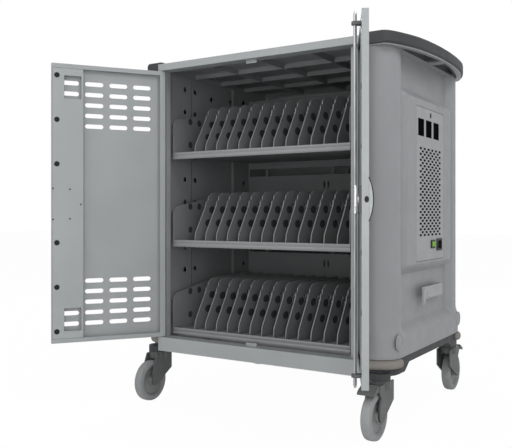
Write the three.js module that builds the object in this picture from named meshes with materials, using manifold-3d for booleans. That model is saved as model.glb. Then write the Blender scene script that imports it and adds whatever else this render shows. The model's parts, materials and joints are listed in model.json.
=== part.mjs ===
// Laptop charging cart: a steel cabinet on casters, with doors, trays of dividers and moulded sides.
// Millimetres, +Z up, front towards -Y. The group is moved at the end so its bottom centre is the origin.
import * as THREE from 'three';
import { mergeVertices } from 'three/addons/utils/BufferGeometryUtils.js';
import Module from 'manifold-3d';

const wasm = await Module();
wasm.setup();

// Driving dimensions of the cabinet
const frameWidth = 696;
const frameDepth = 676;
const frameHeight = 900;
const floorClearance = 160;
const topRailHeight = 21;
const bottomRailHeight = 43;
const railDepth = 40;
const postSetback = 22;
const leftPostWidth = 17;
const rightPostWidth = 43;
const seat = 0.3;
const running = 0.5;
const sheet = 2;
const sliver = 0.01;
const lap = 0.5;

// Doors, hinges and lock
const doorThickness = 16;
const doorSkin = 1.5;
const doorGap = 2;
const hingeInset = 8;
const meetingGap = 2;
const sideReveal = 1;
const hingeFlange = 17;
const endFlange = 13;
const pinRadius = 3;
const pinDepth = 14;
const pinCollar = 2.5;
const leftOpenAngle = 124.5;
const rightOpenAngle = 116;
const slotLength = 55;
const slotWidth = 13;
const slotColumnPitch = 73.7;
const slotRowPitch = 32;
const slotRows = 5;
const firstSlotFromHinge = 71;
const firstSlotFromEnd = 54;
const stiffenerWidth = 91;
const plugRadius = 7;
const plugPitch = 132;
const plugFromEdge = 15;
const windowWidth = 50;
const windowHeight = 68;
const windowFromEnd = 35;
const rodRadius = 4;
const rodFromEdge = 28;
const rodStandoff = 13.5;
const rodTipOverrun = 0.8;
const guideFromEnd = 26;
const guideThickness = 8;
const guideWall = 4;
const crankRadius = 10;
const crankPinRadius = 2.5;
const crankClearance = 0.9;
const camRadius = 15;
const camThickness = 3;
const spindleRadius = 5;
const caseHeight = 62;
const caseWidth = 44;
const caseDepth = 5;
const yokeBar = 5;
const yokeThickness = 4;
const yokeReach = 26;
const rodTaper = 6;
const prongLength = 10;
const pullLength = 97;
const pullRise = 10;
const pullWidth = 42;
const pullWall = 4;
const pullBridge = 14;

// Trays, slides and dividers
const trayCount = 3;
const trayPitch = 278;
const firstLipTop = 229;
const lipHeight = 22;
const lipDepth = 10;
const lipFront = 46;
const trayDepth = 442;
const trayTravel = 320;
const slideSpace = 14;
const trayLeftClear = 4;
const floorDrop = 6;
const endWallFront = 78;
const endWallTop = 148;
const endWallRound = 32;
const endWallLevel = 190;
const endHoleFront = 89;
const endHolePitch = 48;
const endHoleLow = 31;
const endHoleHigh = 107;
const floorSlotWidth = 16;
const floorSlotDepth = 13;
const floorSlotBack = 45;
const dividerCount = 13;
const firstDivider = 64;
const lastBay = 54.8;
const dividerThickness = 3;
const dividerFront = 75;
const dividerBack = 456;
const dividerTop = 153;
const trayBackHeight = 24;
const slideHeight = 45;
const slideCentre = 65;
const slideWall = 1.5;
const cableHole = 9;

// Inner walls and rear partition
const columnEnd = 160;
const rearColumn = 411;
const wallRecess = 4.5;
const wallHoleRadius = 9;
const wallHolePitch = 74;
const firstWallHole = 56;
const frontHoleColumn = 128;
const recessHoleColumn = 188;
const rearHoleColumn = 478;
const partitionFront = 510;
const partitionDrop = 31;
const cableSlotHeight = 27;
const cableSlotDrop = 57;
const cableSlotBridge = 8;
const cableSlotMargin = 6;
const cableBays = [0.124, 0.54];
const slitRise = 198;
const slitHeight = 22;
const slitWidth = 6;
const slitPitch = 16;
const slitCentre = -16;
const stripDrop = 22;
const stripHeight = 45;
const stripDepth = 38;
const stripLength = 540;
const socketCount = 7;
const socketSize = 28;
const socketDepth = 10;

// Moulded top cover, side shells and skirts
const coverSkin = 4;
const coverRib = 3;
const coverLap = 24;
const coverRound = 4;
const handleDrop = 22;
const handleRise = 10;
const bowFront = 16;
const bowReach = 121;
const gripWidth = 26;
const openingInner = 63;
const strutWidth = 40;
const flangePlate = 4;
const flangeInset = 5;
const shellWall = 4;
const shellFront = 24;
const padReach = 64;
const cornerRun = 62;
const bandRise = 8;
const bandHeight = 55;
const bandSlope = 30;
const recessDepth = 20;
const recessFrom = 108;
const recessFull = 132;
const plateauRise = 25;
const plateauFrom = 126;
const plateauFull = 146;
const plateauMargin = 20;
const plateauSlope = 26;
const plugDiscRadius = 15;
const plugRingRadius = 22;
const plugRingDepth = 3;
const plugFromFront = 77;
const plugRise = 44;
const skirtReach = 68;
const skirtArch = 21;
const skirtLobe = 128;
const skirtLobeSlope = 35;
const bumperThickness = 13;
const bumperEdge = 9;
const bumperRun = 98;
const bumperHeight = 24;

// Control panel on the right shell
const panelWidth = 240;
const panelHeight = 443;
const panelRise = 251;
const panelThickness = 4;
const perforationColumns = 6;
const perforationRows = 16;
const perforationPitchY = 33.6;
const perforationPitchZ = 16.7;
const perforationRise = 74;
const perforationWidth = 13;
const perforationHeight = 6;
const displayPitch = 66;
const displayWidth = 52;
const displayDrop = 83;
const displayShift = 15;
const displayRim = 6;
const displayHeight = 50;
const buttonWidth = 10;
const buttonHeight = 16;
const buttonDrop = 16;
const bezelWidth = 34;
const bezelHeight = 24;
const bezelRise = 45.5;
const bezelOffset = 18;
const rockerTilt = 8;
const inletWidth = 46;
const inletHeight = 36;
const inletRise = 43;
const inletOffset = 76;
const hookHeight = 36;
const hookRise = 137;
const hookThickness = 3;
const controllerWidth = 150;
const controllerHeight = 240;
const controllerDepth = 60;
const controllerShift = 40;

// Casters
const wheelRadius = 62.5;
const wheelWidth = 30;
const hubWidth = 36;
const axleRadius = 5;
const casterOutset = 33;
const frontCasterInset = 38;
const rearCasterInset = 64;
const casterTrail = 37;
const forkArm = 4.5;
const forkDrop = 10;
const forkBlade = 42;
const forkHub = 14;
const crownRadius = 29;
const crownThickness = 20;
const stemRadius = 6;
const stemLength = 24;
const pedalWidth = 48;
const pedalLength = 44;
const pedalDrop = 11;
const pedalAhead = 12;
const pedalPivotRadius = 3;

// Values worked out from the sizes above
const half = frameWidth / 2;
const railBottomTop = floorClearance + bottomRailHeight;
const frameTop = floorClearance + frameHeight;
const railTopBottom = frameTop - topRailHeight;
const doorBottom = railBottomTop + doorGap;
const doorTop = railTopBottom - doorGap;
const doorMiddle = (doorBottom + doorTop) / 2;
const doorWidth = half - sideReveal - meetingGap / 2;
const hingeX = half - sideReveal - hingeInset;
const depthMiddle = frameDepth / 2;
const handleLow = frameTop - handleDrop;
const handleHigh = frameTop + handleRise;
const partitionTop = railTopBottom - partitionDrop;
const rodDepth = doorThickness + rodStandoff;
const rodFromHinge = doorWidth - rodFromEdge;
const trayLeft = -half + leftPostWidth + trayLeftClear;
const rightInner = half - rightPostWidth;
const trayRight = rightInner - slideSpace;
const leftInner = trayLeft - slideSpace;
const trayBack = lipFront + trayDepth;
const dividerPitch = (trayRight - trayLeft - firstDivider - lastBay) / (dividerCount - 1);
const shellTop = handleLow - seat;
const shellSide = half + seat;
const recessFloor = shellSide + padReach - recessDepth;
const panelFace = recessFloor + plateauRise;
const panelBottom = railBottomTop + panelRise;
const panelTop = panelBottom + panelHeight;
const displayBottom = panelTop - displayDrop;
const buttonCentre = panelTop - buttonDrop;
const bezelCentre = panelBottom + bezelRise;
const inletCentre = panelBottom + inletRise;
const hookBottom = railBottomTop + hookRise;
const casterFromCentre = half + casterOutset;
const forkTop = floorClearance - forkDrop;
const pedalPivotZ = forkTop - pedalDrop;
const closed = Math.PI * 2;

// Materials with the colours of the photograph
const paint = (colour, roughness = 0.5, metalness = 0) =>
  new THREE.MeshStandardMaterial({ color: colour, roughness, metalness });
const steelGrey = () => paint('#9ca0a1', 0.45, 0.3);
const darkSteel = () => paint('#535556', 0.5, 0.3);
const shellGrey = () => paint('#8c8e90', 0.6);
const darkMoulding = () => paint('#47484a', 0.6);
const blackPlastic = () => paint('#1d1e1f', 0.4);
const brightSteel = () => paint('#b4b6b6', 0.3, 0.9);

// Solid helpers
function solid(geometry) {
  const bare = geometry.index ? geometry.toNonIndexed() : geometry;
  bare.deleteAttribute('normal');
  bare.deleteAttribute('uv');
  const merged = mergeVertices(bare, 1e-4);
  return new wasm.Manifold(new wasm.Mesh({
    numProp: 3,
    vertProperties: new Float32Array(merged.attributes.position.array),
    triVerts: new Uint32Array(merged.index.array),
  }));
}

function mesh(name, body, material) {
  const data = body.simplify(sliver).getMesh();
  const geometry = new THREE.BufferGeometry();
  geometry.setAttribute('position', new THREE.BufferAttribute(data.vertProperties, 3));
  geometry.setIndex(new THREE.BufferAttribute(data.triVerts, 1));
  geometry.computeVertexNormals();
  const piece = new THREE.Mesh(geometry, material);
  piece.name = name;
  return piece;
}

const join = (bodies) => bodies.reduce((sum, body) => sum.add(body));
const cut = (body, cutters) => cutters.reduce((rest, cutter) => rest.subtract(cutter), body);

// A box between two corners, given in any order
function box(x0, x1, y0, y1, z0, z1) {
  const geometry = new THREE.BoxGeometry(Math.abs(x1 - x0), Math.abs(y1 - y0), Math.abs(z1 - z0));
  geometry.translate((x0 + x1) / 2, (y0 + y1) / 2, (z0 + z1) / 2);
  return solid(geometry);
}

// Extrusions of an outline: drawn in X and Y along Z, in Y and Z along X, or in X and Z along Y
const turnTo = {
  z: new THREE.Matrix4(),
  x: new THREE.Matrix4().makeBasis(
    new THREE.Vector3(0, 1, 0), new THREE.Vector3(0, 0, 1), new THREE.Vector3(1, 0, 0)),
  y: new THREE.Matrix4().makeBasis(
    new THREE.Vector3(1, 0, 0), new THREE.Vector3(0, 0, 1), new THREE.Vector3(0, -1, 0)),
};

function prism(outline, axis, from, to, curveSegments = 6) {
  const low = Math.min(from, to);
  const high = Math.max(from, to);
  const depth = high - low;
  const geometry = new THREE.ExtrudeGeometry(outline, { depth, bevelEnabled: false, curveSegments });
  geometry.translate(0, 0, axis === 'y' ? -high : low);
  geometry.applyMatrix4(turnTo[axis]);
  return solid(geometry);
}

const polygon = (points) => new THREE.Shape(points.map(([a, b]) => new THREE.Vector2(a, b)));

function disc(a, b, radius) {
  return new THREE.Shape().absarc(a, b, radius, 0, closed, false);
}

// A round bar along an axis through (a, b) in that axis' drawing plane
function bar(axis, a, b, radius, from, to, sides = 12) {
  return prism(disc(a, b, radius), axis, from, to, sides / 2);
}

// A slot with round ends, longest along its first direction
function stadium(a, b, length, width) {
  const reach = (length - width) / 2;
  const shape = new THREE.Shape();
  shape.absarc(a + reach, b, width / 2, -Math.PI / 2, Math.PI / 2, false);
  shape.absarc(a - reach, b, width / 2, Math.PI / 2, Math.PI * 1.5, false);
  return shape;
}

const range = (count) => Array.from({ length: count }, (_, index) => index);
const smooth = (low, high, value) => THREE.MathUtils.smoothstep(value, low, high);
const rad = THREE.MathUtils.degToRad;

// Front and rear frames of the cabinet
const rodX = hingeX + hingeInset - rodFromHinge;

function railHoles(y, rods) {
  const holes = [];
  for (const side of [-1, 1]) {
    const radius = pinRadius + seat;
    holes.push(bar('z', side * hingeX, y, radius, railBottomTop - pinDepth - seat, railBottomTop + 1, 8));
    holes.push(bar('z', side * hingeX, y, radius, railTopBottom - 1, railTopBottom + pinDepth + seat, 8));
  }
  if (rods) {
    const radius = rodRadius + 1;
    holes.push(bar('z', rodX, rodDepth, radius, floorClearance - 1, railBottomTop + 1, 8));
    holes.push(bar('z', rodX, rodDepth, radius, railTopBottom - 1, frameTop + 1, 8));
  }
  return holes;
}

function rails(y0, y1) {
  return [
    box(-half, half, y0, y1, railTopBottom, frameTop),
    box(-half, half, y0, y1, floorClearance, railBottomTop),
  ];
}

function frontFrame() {
  const posts = [
    box(-half, -half + leftPostWidth, postSetback, railDepth, railBottomTop - 1, railTopBottom + 1),
    box(half - rightPostWidth, half, postSetback, railDepth, railBottomTop - 1, railTopBottom + 1),
  ];
  const tabWidth = 36;
  const tabCentre = -10;
  const tabReach = 10;
  const heights = [
    [railTopBottom - tabReach, railTopBottom + 1],
    [railBottomTop - 1, railBottomTop + tabReach],
  ];
  const tabs = heights.map(([low, high]) => box(tabCentre - tabWidth / 2, tabCentre + tabWidth / 2,
      doorThickness + 1, doorThickness + 1 + sheet, low, high));
  return cut(join([...rails(0, railDepth), ...posts, ...tabs]), railHoles(hingeInset, true));
}

function rearFrame() {
  const front = frameDepth - railDepth;
  const posts = [-1, 1].map((side) => box(side * half, side * (half - leftPostWidth),
    front, frameDepth - postSetback, railBottomTop - 1, railTopBottom + 1));
  return cut(join([...rails(front, frameDepth), ...posts]), railHoles(frameDepth - hingeInset, false));
}

// A hinge pin stands in a rail, with a collar in the gap that carries the door
function hingePin(side, upper) {
  const away = upper ? 1 : -1;
  const face = upper ? railTopBottom : railBottomTop;
  const x = side * hingeX;
  const collarFace = face - away * seat;
  return join([
    bar('z', x, hingeInset, pinRadius, face + away * pinDepth, face - away * (pinDepth + doorGap), 8),
    bar('z', x, hingeInset, pinRadius + pinCollar, collarFace, face - away * (doorGap - seat), 8),
  ]);
}

// Base frame: side rails between the front and rear frames, with two cross members
const baseFront = railDepth + seat;
const baseBack = frameDepth - railDepth - seat;

function baseFrame() {
  const railWidth = 40;
  const crossWidth = 36;
  const crossHeight = 20;
  const sides = [-1, 1].map((side) => box(side * half, side * (half - railWidth),
    baseFront, baseBack, floorClearance, railBottomTop));
  const crosses = [1 / 3, 2 / 3].map((share) => {
    const y = THREE.MathUtils.lerp(baseFront, baseBack, share);
    return box(-half + 1, half - 1, y - crossWidth / 2, y + crossWidth / 2,
      floorClearance, floorClearance + crossHeight);
  });
  return join([...sides, ...crosses]);
}

// Inner walls: sheets with a recessed middle, round holes and the fixed slide channels
const lipTop = (level) => firstLipTop + trayPitch * level;
const slideFront = lipFront + 4;
const slideBack = trayBack - 8;

function wallSheet(inner, out) {
  const slope = 8;
  const back = inner + out * sheet;
  const deep = inner + out * wallRecess;
  const deepBack = deep + out * sheet;
  const front = railDepth + seat;
  const end = frameDepth - railDepth - seat;
  const outline = polygon([
    [inner, front], [inner, columnEnd], [deep, columnEnd + slope], [deep, rearColumn - slope],
    [inner, rearColumn], [inner, end], [back, end],
    [back, rearColumn + 1], [deepBack, rearColumn - slope + 1],
    [deepBack, columnEnd + slope - 1], [back, columnEnd - 1], [back, front],
  ]);
  return prism(outline, 'z', railBottomTop + seat, railTopBottom - seat);
}

// Rows of round holes: full columns near the front, and every fourth row in the rear column
function wallHoles(inner, out) {
  const low = railBottomTop + firstWallHole;
  const room = railTopBottom - wallHoleRadius * 2 - low;
  const rows = Math.floor(room / wallHolePitch) + 1;
  const through = [inner - out * sheet, inner + out * (wallRecess + sheet * 2)];
  const column = (y, step) => range(rows).filter((row) => (rows - 1 - row) % step === 0)
    .map((row) => bar('x', y, low + row * wallHolePitch, wallHoleRadius, ...through, 6));
  return [...column(frontHoleColumn, 1), ...column(recessHoleColumn, 1), ...column(rearHoleColumn, 4)];
}

function slideChannel(inner, out, level) {
  const middle = lipTop(level) + slideCentre;
  const tip = inner - out * (slideSpace - sheet);
  const web = inner - out * slideWall;
  const reach = slideHeight / 2;
  const outline = polygon([
    [inner + out * lap, middle - reach], [tip, middle - reach], [tip, middle - reach + slideWall],
    [web, middle - reach + slideWall], [web, middle + reach - slideWall], [tip, middle + reach - slideWall],
    [tip, middle + reach], [inner + out * lap, middle + reach],
  ]);
  return prism(outline, 'y', slideFront, slideBack);
}

function innerWall(side) {
  const inner = side < 0 ? leftInner : rightInner;
  const channels = range(trayCount).map((level) => slideChannel(inner, side, level));
  return join([cut(wallSheet(inner, side), wallHoles(inner, side)), ...channels]);
}

// Rear partition with cable slots under each tray and pairs of small slots
function rearPartition() {
  const left = leftInner + seat;
  const right = rightInner - seat;
  const plate = box(left, right, partitionFront, partitionFront + sheet, railBottomTop + seat, partitionTop);
  const through = [partitionFront - 1, partitionFront + sheet + 1];
  const first = left + cableSlotMargin;
  const last = right - cableSlotMargin;
  const bridges = cableBays.map((share) => THREE.MathUtils.lerp(left, right, share));
  const starts = [first, ...bridges.map((x) => x + cableSlotBridge / 2)];
  const ends = [...bridges.map((x) => x - cableSlotBridge / 2), last];
  const cutters = [];
  for (const level of range(trayCount - 1)) {
    const low = lipTop(level + 1) - cableSlotDrop;
    for (const bay of range(starts.length)) {
      cutters.push(box(starts[bay], ends[bay], ...through, low, low + cableSlotHeight));
    }
  }
  for (const level of range(trayCount)) {
    const high = lipTop(level) + slitRise;
    for (const way of [-0.5, 0.5]) {
      const x = slitCentre + slitPitch * way;
      cutters.push(box(x - slitWidth / 2, x + slitWidth / 2, ...through, high - slitHeight, high));
    }
  }
  return cut(plate, cutters);
}

// A power strip behind the partition, with a row of sockets facing the rear
function powerStrip(level) {
  const front = partitionFront + sheet + seat;
  const back = front + stripDepth;
  const middle = (leftInner + rightInner) / 2;
  const low = lipTop(level) - stripDrop;
  const body = box(middle - stripLength / 2, middle + stripLength / 2, front, back, low, low + stripHeight);
  const pitch = stripLength / socketCount;
  const sockets = range(socketCount).map((index) => {
    const x = middle + pitch * (index - (socketCount - 1) / 2);
    const z = low + stripHeight / 2;
    return box(x - socketSize / 2, x + socketSize / 2, back - socketDepth, back + 1,
      z - socketSize / 2, z + socketSize / 2);
  });
  return cut(body, sockets);
}

function powerController() {
  const face = rightInner + wallRecess + sheet + seat;
  const middle = (panelBottom + panelTop) / 2;
  const y = depthMiddle - controllerShift;
  return box(face, face + controllerDepth, y - controllerWidth / 2, y + controllerWidth / 2,
    middle - controllerHeight / 2, middle + controllerHeight / 2);
}

// Doors are drawn closed, about their hinge axis: s runs from the hinge end, t in from the outer face.
// The hand is 1 for a door hinged on the left and -1 on the right; facing is 1 in front and -1 at the rear.
const alongDoor = (hand, s) => hand * (s - hingeInset);
const throughDoor = (facing, t) => facing * (t - hingeInset);

function doorBox(hand, facing, s0, s1, t0, t1, z0, z1) {
  const along = [alongDoor(hand, s0), alongDoor(hand, s1)];
  return box(...along, throughDoor(facing, t0), throughDoor(facing, t1), z0, z1);
}

function ventSlots(hand, facing, columns, rows) {
  const slots = [];
  for (const column of range(columns)) {
    const x = alongDoor(hand, firstSlotFromHinge + slotColumnPitch * column);
    for (const row of range(rows)) {
      const rise = firstSlotFromEnd + slotRowPitch * row;
      for (const z of [doorBottom + rise, doorTop - rise]) {
        slots.push(prism(stadium(x, z, slotLength, slotWidth), 'y',
          throughDoor(facing, -1), throughDoor(facing, doorSkin + 1), 1));
      }
    }
  }
  return slots;
}

// A folded pan: an outer skin, four edge walls and return flanges on the hinge side, top and bottom
function doorPan(hand, facing, columns, rows) {
  const inner = doorThickness - doorSkin;
  const body = doorBox(hand, facing, 0, doorWidth, 0, doorThickness, doorBottom, doorTop);
  const hollow = doorBox(hand, facing, doorSkin, doorWidth - doorSkin, doorSkin, inner,
    doorBottom + doorSkin, doorTop - doorSkin);
  const mouth = doorBox(hand, facing, hingeFlange, doorWidth - doorSkin, inner - 1, doorThickness + 1,
    doorBottom + endFlange, doorTop - endFlange);
  return cut(body, [hollow, mouth, ...ventSlots(hand, facing, columns, rows)]);
}

function frontDoor(hand) {
  const pinHole = bar('z', 0, 0, pinRadius + running, doorBottom - 1, doorTop + 1, 8);
  return doorPan(hand, 1, 4, slotRows).subtract(pinHole);
}

// A rear door carries its own pins, which turn in the rails of the rear frame
function rearDoor(hand) {
  const pins = [
    bar('z', 0, 0, pinRadius - running, doorTop - doorSkin, railTopBottom + pinDepth, 8),
    bar('z', 0, 0, pinRadius - running, doorBottom + doorSkin, railBottomTop - pinDepth, 8),
  ];
  return join([doorPan(hand, -1, 2, 2), ...pins]);
}

// The stiffener is a channel closed by the door skin, with windows and plug holes in its web
function stiffener(hand) {
  const far = doorWidth - doorSkin - seat;
  const near = far - stiffenerWidth;
  const face = doorThickness - seat;
  const low = doorBottom + endFlange + seat;
  const high = doorTop - endFlange - seat;
  const channel = doorBox(hand, 1, near, far, doorSkin + seat, face, low, high)
    .subtract(doorBox(hand, 1, near + sheet, far - sheet, 0, face - sheet, low - 1, high + 1));
  const windowNear = near + 6;
  const windows = [doorBottom + windowFromEnd, doorTop - windowFromEnd - windowHeight].map((z) =>
    doorBox(hand, 1, windowNear, windowNear + windowWidth, face - sheet - 1, face + 1, z, z + windowHeight));
  const plugs = range(6).map((index) => {
    const rise = windowFromEnd + plugPitch * (index % 3);
    const z = index < 3 ? doorBottom + rise : doorTop - rise;
    return bar('y', alongDoor(hand, doorWidth - plugFromEdge), z, plugRadius,
      throughDoor(1, face - sheet - 1), throughDoor(1, face + 1), 8);
  });
  return cut(channel, [...windows, ...plugs]);
}

// Lock on the right door: a cam with two crank pins drives forks on the ends of the two rods
const lockHand = -1;
const lockX = alongDoor(lockHand, rodFromHinge);
const caseFace = doorThickness + caseDepth;
const rodY = throughDoor(1, rodDepth);
const crankRest = crankRadius * Math.SQRT1_2;

function lockCase() {
  const plate = doorBox(lockHand, 1, rodFromHinge - caseWidth / 2, rodFromHinge + caseWidth / 2,
    doorThickness, caseFace, doorMiddle - caseHeight / 2, doorMiddle + caseHeight / 2);
  return plate.subtract(bar('y', lockX, doorMiddle, spindleRadius + running,
    throughDoor(1, doorThickness - 1), throughDoor(1, caseFace + 1), 12));
}

function lockCam() {
  const discFace = caseFace + running;
  const discTop = discFace + camThickness;
  const pinTip = rodDepth + yokeThickness / 2 + 1;
  const pins = [-1, 1].map((way) => bar('y', lockX + way * lockHand * crankRest, doorMiddle - way * crankRest,
    crankPinRadius, throughDoor(1, discTop - lap), throughDoor(1, pinTip), 8));
  return join([
    bar('y', lockX, doorMiddle, spindleRadius,
      throughDoor(1, doorThickness + seat), throughDoor(1, discFace + 1), 12),
    bar('y', lockX, doorMiddle, camRadius, throughDoor(1, discFace), throughDoor(1, discTop), 16),
    ...pins,
  ]);
}

// way is 1 for the upper rod and -1 for the lower one, which is the upper one turned half round
function lockRod(way) {
  const out = way * lockHand;
  const pinX = lockX + out * crankRest;
  const pinZ = doorMiddle - way * crankRest;
  const slot = crankPinRadius + crankClearance;
  const near = rodY - yokeThickness / 2;
  const far = rodY + yokeThickness / 2;
  const prongTip = pinX - out * (crankPinRadius + 1);
  const spine = prongTip + out * prongLength;
  const spineFar = spine + out * yokeBar;
  const shoulder = doorMiddle + way * yokeReach;
  const tip = way > 0 ? doorTop + rodTipOverrun : doorBottom - rodTipOverrun;
  const point = new THREE.CylinderGeometry(rodRadius, rodRadius * 0.6, rodTaper, 8)
    .rotateX(way * -Math.PI / 2)
    .translate(lockX, rodY, tip - way * rodTaper / 2);
  return join([
    box(prongTip, spineFar, near, far, pinZ + slot, pinZ + slot + yokeBar),
    box(prongTip, spineFar, near, far, pinZ - slot, pinZ - slot - yokeBar),
    box(spine, spineFar, near, far, pinZ - way * (slot + yokeBar), shoulder + way * yokeBar),
    box(lockX - out * rodRadius, spineFar, near, far, shoulder, shoulder + way * yokeBar),
    bar('z', lockX, rodY, rodRadius, shoulder, tip - way * (rodTaper - lap), 8),
    solid(point),
  ]);
}

// A rod guide: a foot on the stiffener with an eye round the rod
function rodGuide(way) {
  const z = way > 0 ? doorTop - guideFromEnd : doorBottom + guideFromEnd;
  const width = rodRadius + running + guideWall;
  const block = box(lockX - width, lockX + width, throughDoor(1, doorThickness), rodY,
    z - guideThickness / 2, z + guideThickness / 2);
  const eye = bar('z', lockX, rodY, width, z - guideThickness / 2, z + guideThickness / 2, 12);
  const bore = bar('z', lockX, rodY, rodRadius + running, z - guideThickness, z + guideThickness, 8);
  return block.add(eye).subtract(bore);
}

// The pull: a segment of a circle on the outer face, hollowed behind for the fingers
function doorPull() {
  const radius = (pullLength ** 2 / 4 + pullRise ** 2) / (2 * pullRise);
  const spread = Math.asin(pullLength / 2 / radius);
  const face = throughDoor(1, -seat);
  const shape = new THREE.Shape();
  shape.absarc(face - pullRise + radius, doorMiddle, radius, Math.PI - spread, Math.PI + spread, false);
  const freeEdge = alongDoor(lockHand, doorWidth);
  const bow = prism(shape, 'x', alongDoor(lockHand, doorWidth - pullWidth), freeEdge, 6);
  const hollow = box(
    alongDoor(lockHand, doorWidth - pullWidth - 1), alongDoor(lockHand, doorWidth - pullBridge),
    face - pullRise + pullWall, face - doorSkin, doorMiddle - pullLength / 4, doorMiddle + pullLength / 4);
  return bow.subtract(hollow);
}

// Trays: a folded floor with end walls, dividers, a low back and the moving slide members
function endWallOutline(top) {
  const lowest = top - floorDrop - sheet * 2;
  const behindLip = lipFront + lipDepth + seat;
  const front = lipFront + sheet;
  const bend = top + endWallFront + endWallRound;
  const shape = new THREE.Shape();
  shape.moveTo(behindLip, lowest);
  shape.lineTo(behindLip, top + seat);
  shape.lineTo(front, top + seat);
  shape.lineTo(front, top + endWallFront);
  shape.quadraticCurveTo(front, bend, front + endWallRound, bend);
  shape.lineTo(trayBack - endWallLevel, top + endWallTop);
  shape.lineTo(trayBack, top + endWallTop);
  shape.lineTo(trayBack, lowest);
  return shape;
}

// A divider: a slanted front edge, two knobs at its upper end and a level top
function dividerOutline(top) {
  const root = top - floorDrop - sheet / 2;
  const toe = 22;
  const knob = 12;
  const brow = dividerTop - knob * 3.5;
  const slant = 60;
  const crest = slant + 58;
  const tail = 40;
  const shape = new THREE.Shape();
  shape.moveTo(dividerFront, root);
  shape.lineTo(dividerFront + 4, top + toe);
  shape.lineTo(dividerFront + slant, top + brow);
  for (const step of [0, 1]) {
    const y = dividerFront + slant + knob * step;
    const z = top + brow + knob * 1.4 * step;
    shape.quadraticCurveTo(y - knob * 0.4, z + knob, y + knob, z + knob * 1.4);
  }
  const level = top + dividerTop;
  shape.quadraticCurveTo(dividerFront + slant + knob * 2, level, dividerFront + crest, level);
  shape.lineTo(dividerBack - tail, level);
  shape.lineTo(dividerBack, level - tail * 1.5);
  shape.lineTo(dividerBack, root);
  shape.holes = [disc(dividerFront + crest, top + brow, cableHole)];
  return shape;
}

const dividerX = (index) => trayLeft + firstDivider + dividerPitch * index;

// The runner keeps to the rear of a tray, so that it stays inside its channel at full travel
function traySlideMember(side, top) {
  const face = side < 0 ? trayLeft : trayRight;
  const middle = top + slideCentre;
  const reach = slideHeight / 2 - slideWall - running;
  const tip = face + side * (slideSpace - slideWall - 1);
  const web = face + side * slideWall;
  const outline = polygon([
    [face - side * lap, middle - reach], [tip, middle - reach], [tip, middle - reach + slideWall],
    [web, middle - reach + slideWall], [web, middle + reach - slideWall], [tip, middle + reach - slideWall],
    [tip, middle + reach], [face - side * lap, middle + reach],
  ]);
  return prism(outline, 'y', railDepth + trayTravel + sheet, slideBack);
}

function tray(level) {
  const top = lipTop(level);
  const floorTop = top - floorDrop;
  const front = lipFront + lipDepth + seat;
  const fold = sheet / 2;
  const left = trayLeft + fold;
  const right = trayRight - fold;
  const floor = box(left, right, front + fold, trayBack - fold, floorTop - sheet, floorTop);
  const apron = box(left, right, front, front + sheet, top - lipHeight + sheet, floorTop - fold);
  const back = box(left, right, trayBack - sheet, trayBack - fold / 2, floorTop - fold, top + trayBackHeight);
  const ends = [trayLeft, trayRight - sheet].map((x) => {
    const wall = prism(endWallOutline(top), 'x', x, x + sheet, 4);
    const y = lipFront + endHoleFront;
    const spots = [[y, endHoleLow], [y, endHoleHigh], [y + endHolePitch, endHoleHigh]];
    const holes = spots.map(([along, rise]) =>
      bar('x', along, top + rise, cableHole, x - 1, x + sheet + 1, 6));
    return cut(wall, holes);
  });
  const dividers = range(dividerCount).map((index) =>
    prism(dividerOutline(top), 'x', dividerX(index), dividerX(index) + dividerThickness, 2));
  const bays = [trayLeft, ...range(dividerCount).map(dividerX)];
  const slotFront = dividerFront + floorSlotBack;
  const slots = bays.map((x) => box(x + floorSlotWidth, x + floorSlotWidth * 2,
    slotFront, slotFront + floorSlotDepth, floorTop - sheet - 1, floorTop + 1));
  const members = [-1, 1].map((side) => traySlideMember(side, top));
  return join([cut(join([floor, apron, back, ...ends]), slots), ...dividers, ...members]);
}

// The light lip along a tray's front: two rounded beads with a groove between
function trayLip(level) {
  const top = lipTop(level);
  const low = top - lipHeight;
  const bead = lipHeight / 2 - 1;
  const groove = lipFront + 3;
  const back = lipFront + lipDepth;
  const shape = new THREE.Shape();
  shape.moveTo(back, top);
  shape.lineTo(groove, top);
  shape.quadraticCurveTo(lipFront, top - bead / 2, groove, top - bead);
  shape.lineTo(groove, low + bead);
  shape.quadraticCurveTo(lipFront, low + bead / 2, groove, low);
  shape.lineTo(back, low);
  return prism(shape, 'x', trayLeft, trayRight, 5);
}

// Plan curves of the moulded sides, as reach from the frame's side at a depth y, alike front and rear
const fromNearEnd = (y) => Math.min(y, frameDepth - y);

function cornerReach(y, reach, grow = 0) {
  const run = THREE.MathUtils.clamp((fromNearEnd(y) - shellFront + grow) / (cornerRun + grow), 0, 1);
  return (reach + grow) * Math.sqrt(1 - (1 - run) ** 2);
}

// Corner pads and a band along the foot stand proud of a recess, and a plateau rises out of the recess
const bandTop = railBottomTop + bandHeight;
const plateauLow = panelBottom - plateauMargin;
const plateauHigh = panelTop + plateauMargin;

function shellOverhang(y, z) {
  const inward = fromNearEnd(y);
  const aboveBand = smooth(bandTop, bandTop + bandSlope, z);
  const band = bandRise * (1 - aboveBand);
  const recess = recessDepth * smooth(recessFrom, recessFull, inward) * aboveBand;
  const tall = smooth(plateauLow - plateauSlope / 2, plateauLow + plateauSlope / 2, z)
    * (1 - smooth(plateauHigh, plateauHigh + plateauSlope, z));
  const plateau = plateauRise * smooth(plateauFrom, plateauFull, inward) * tall;
  return cornerReach(y, padReach + band) - recess + plateau;
}

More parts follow.
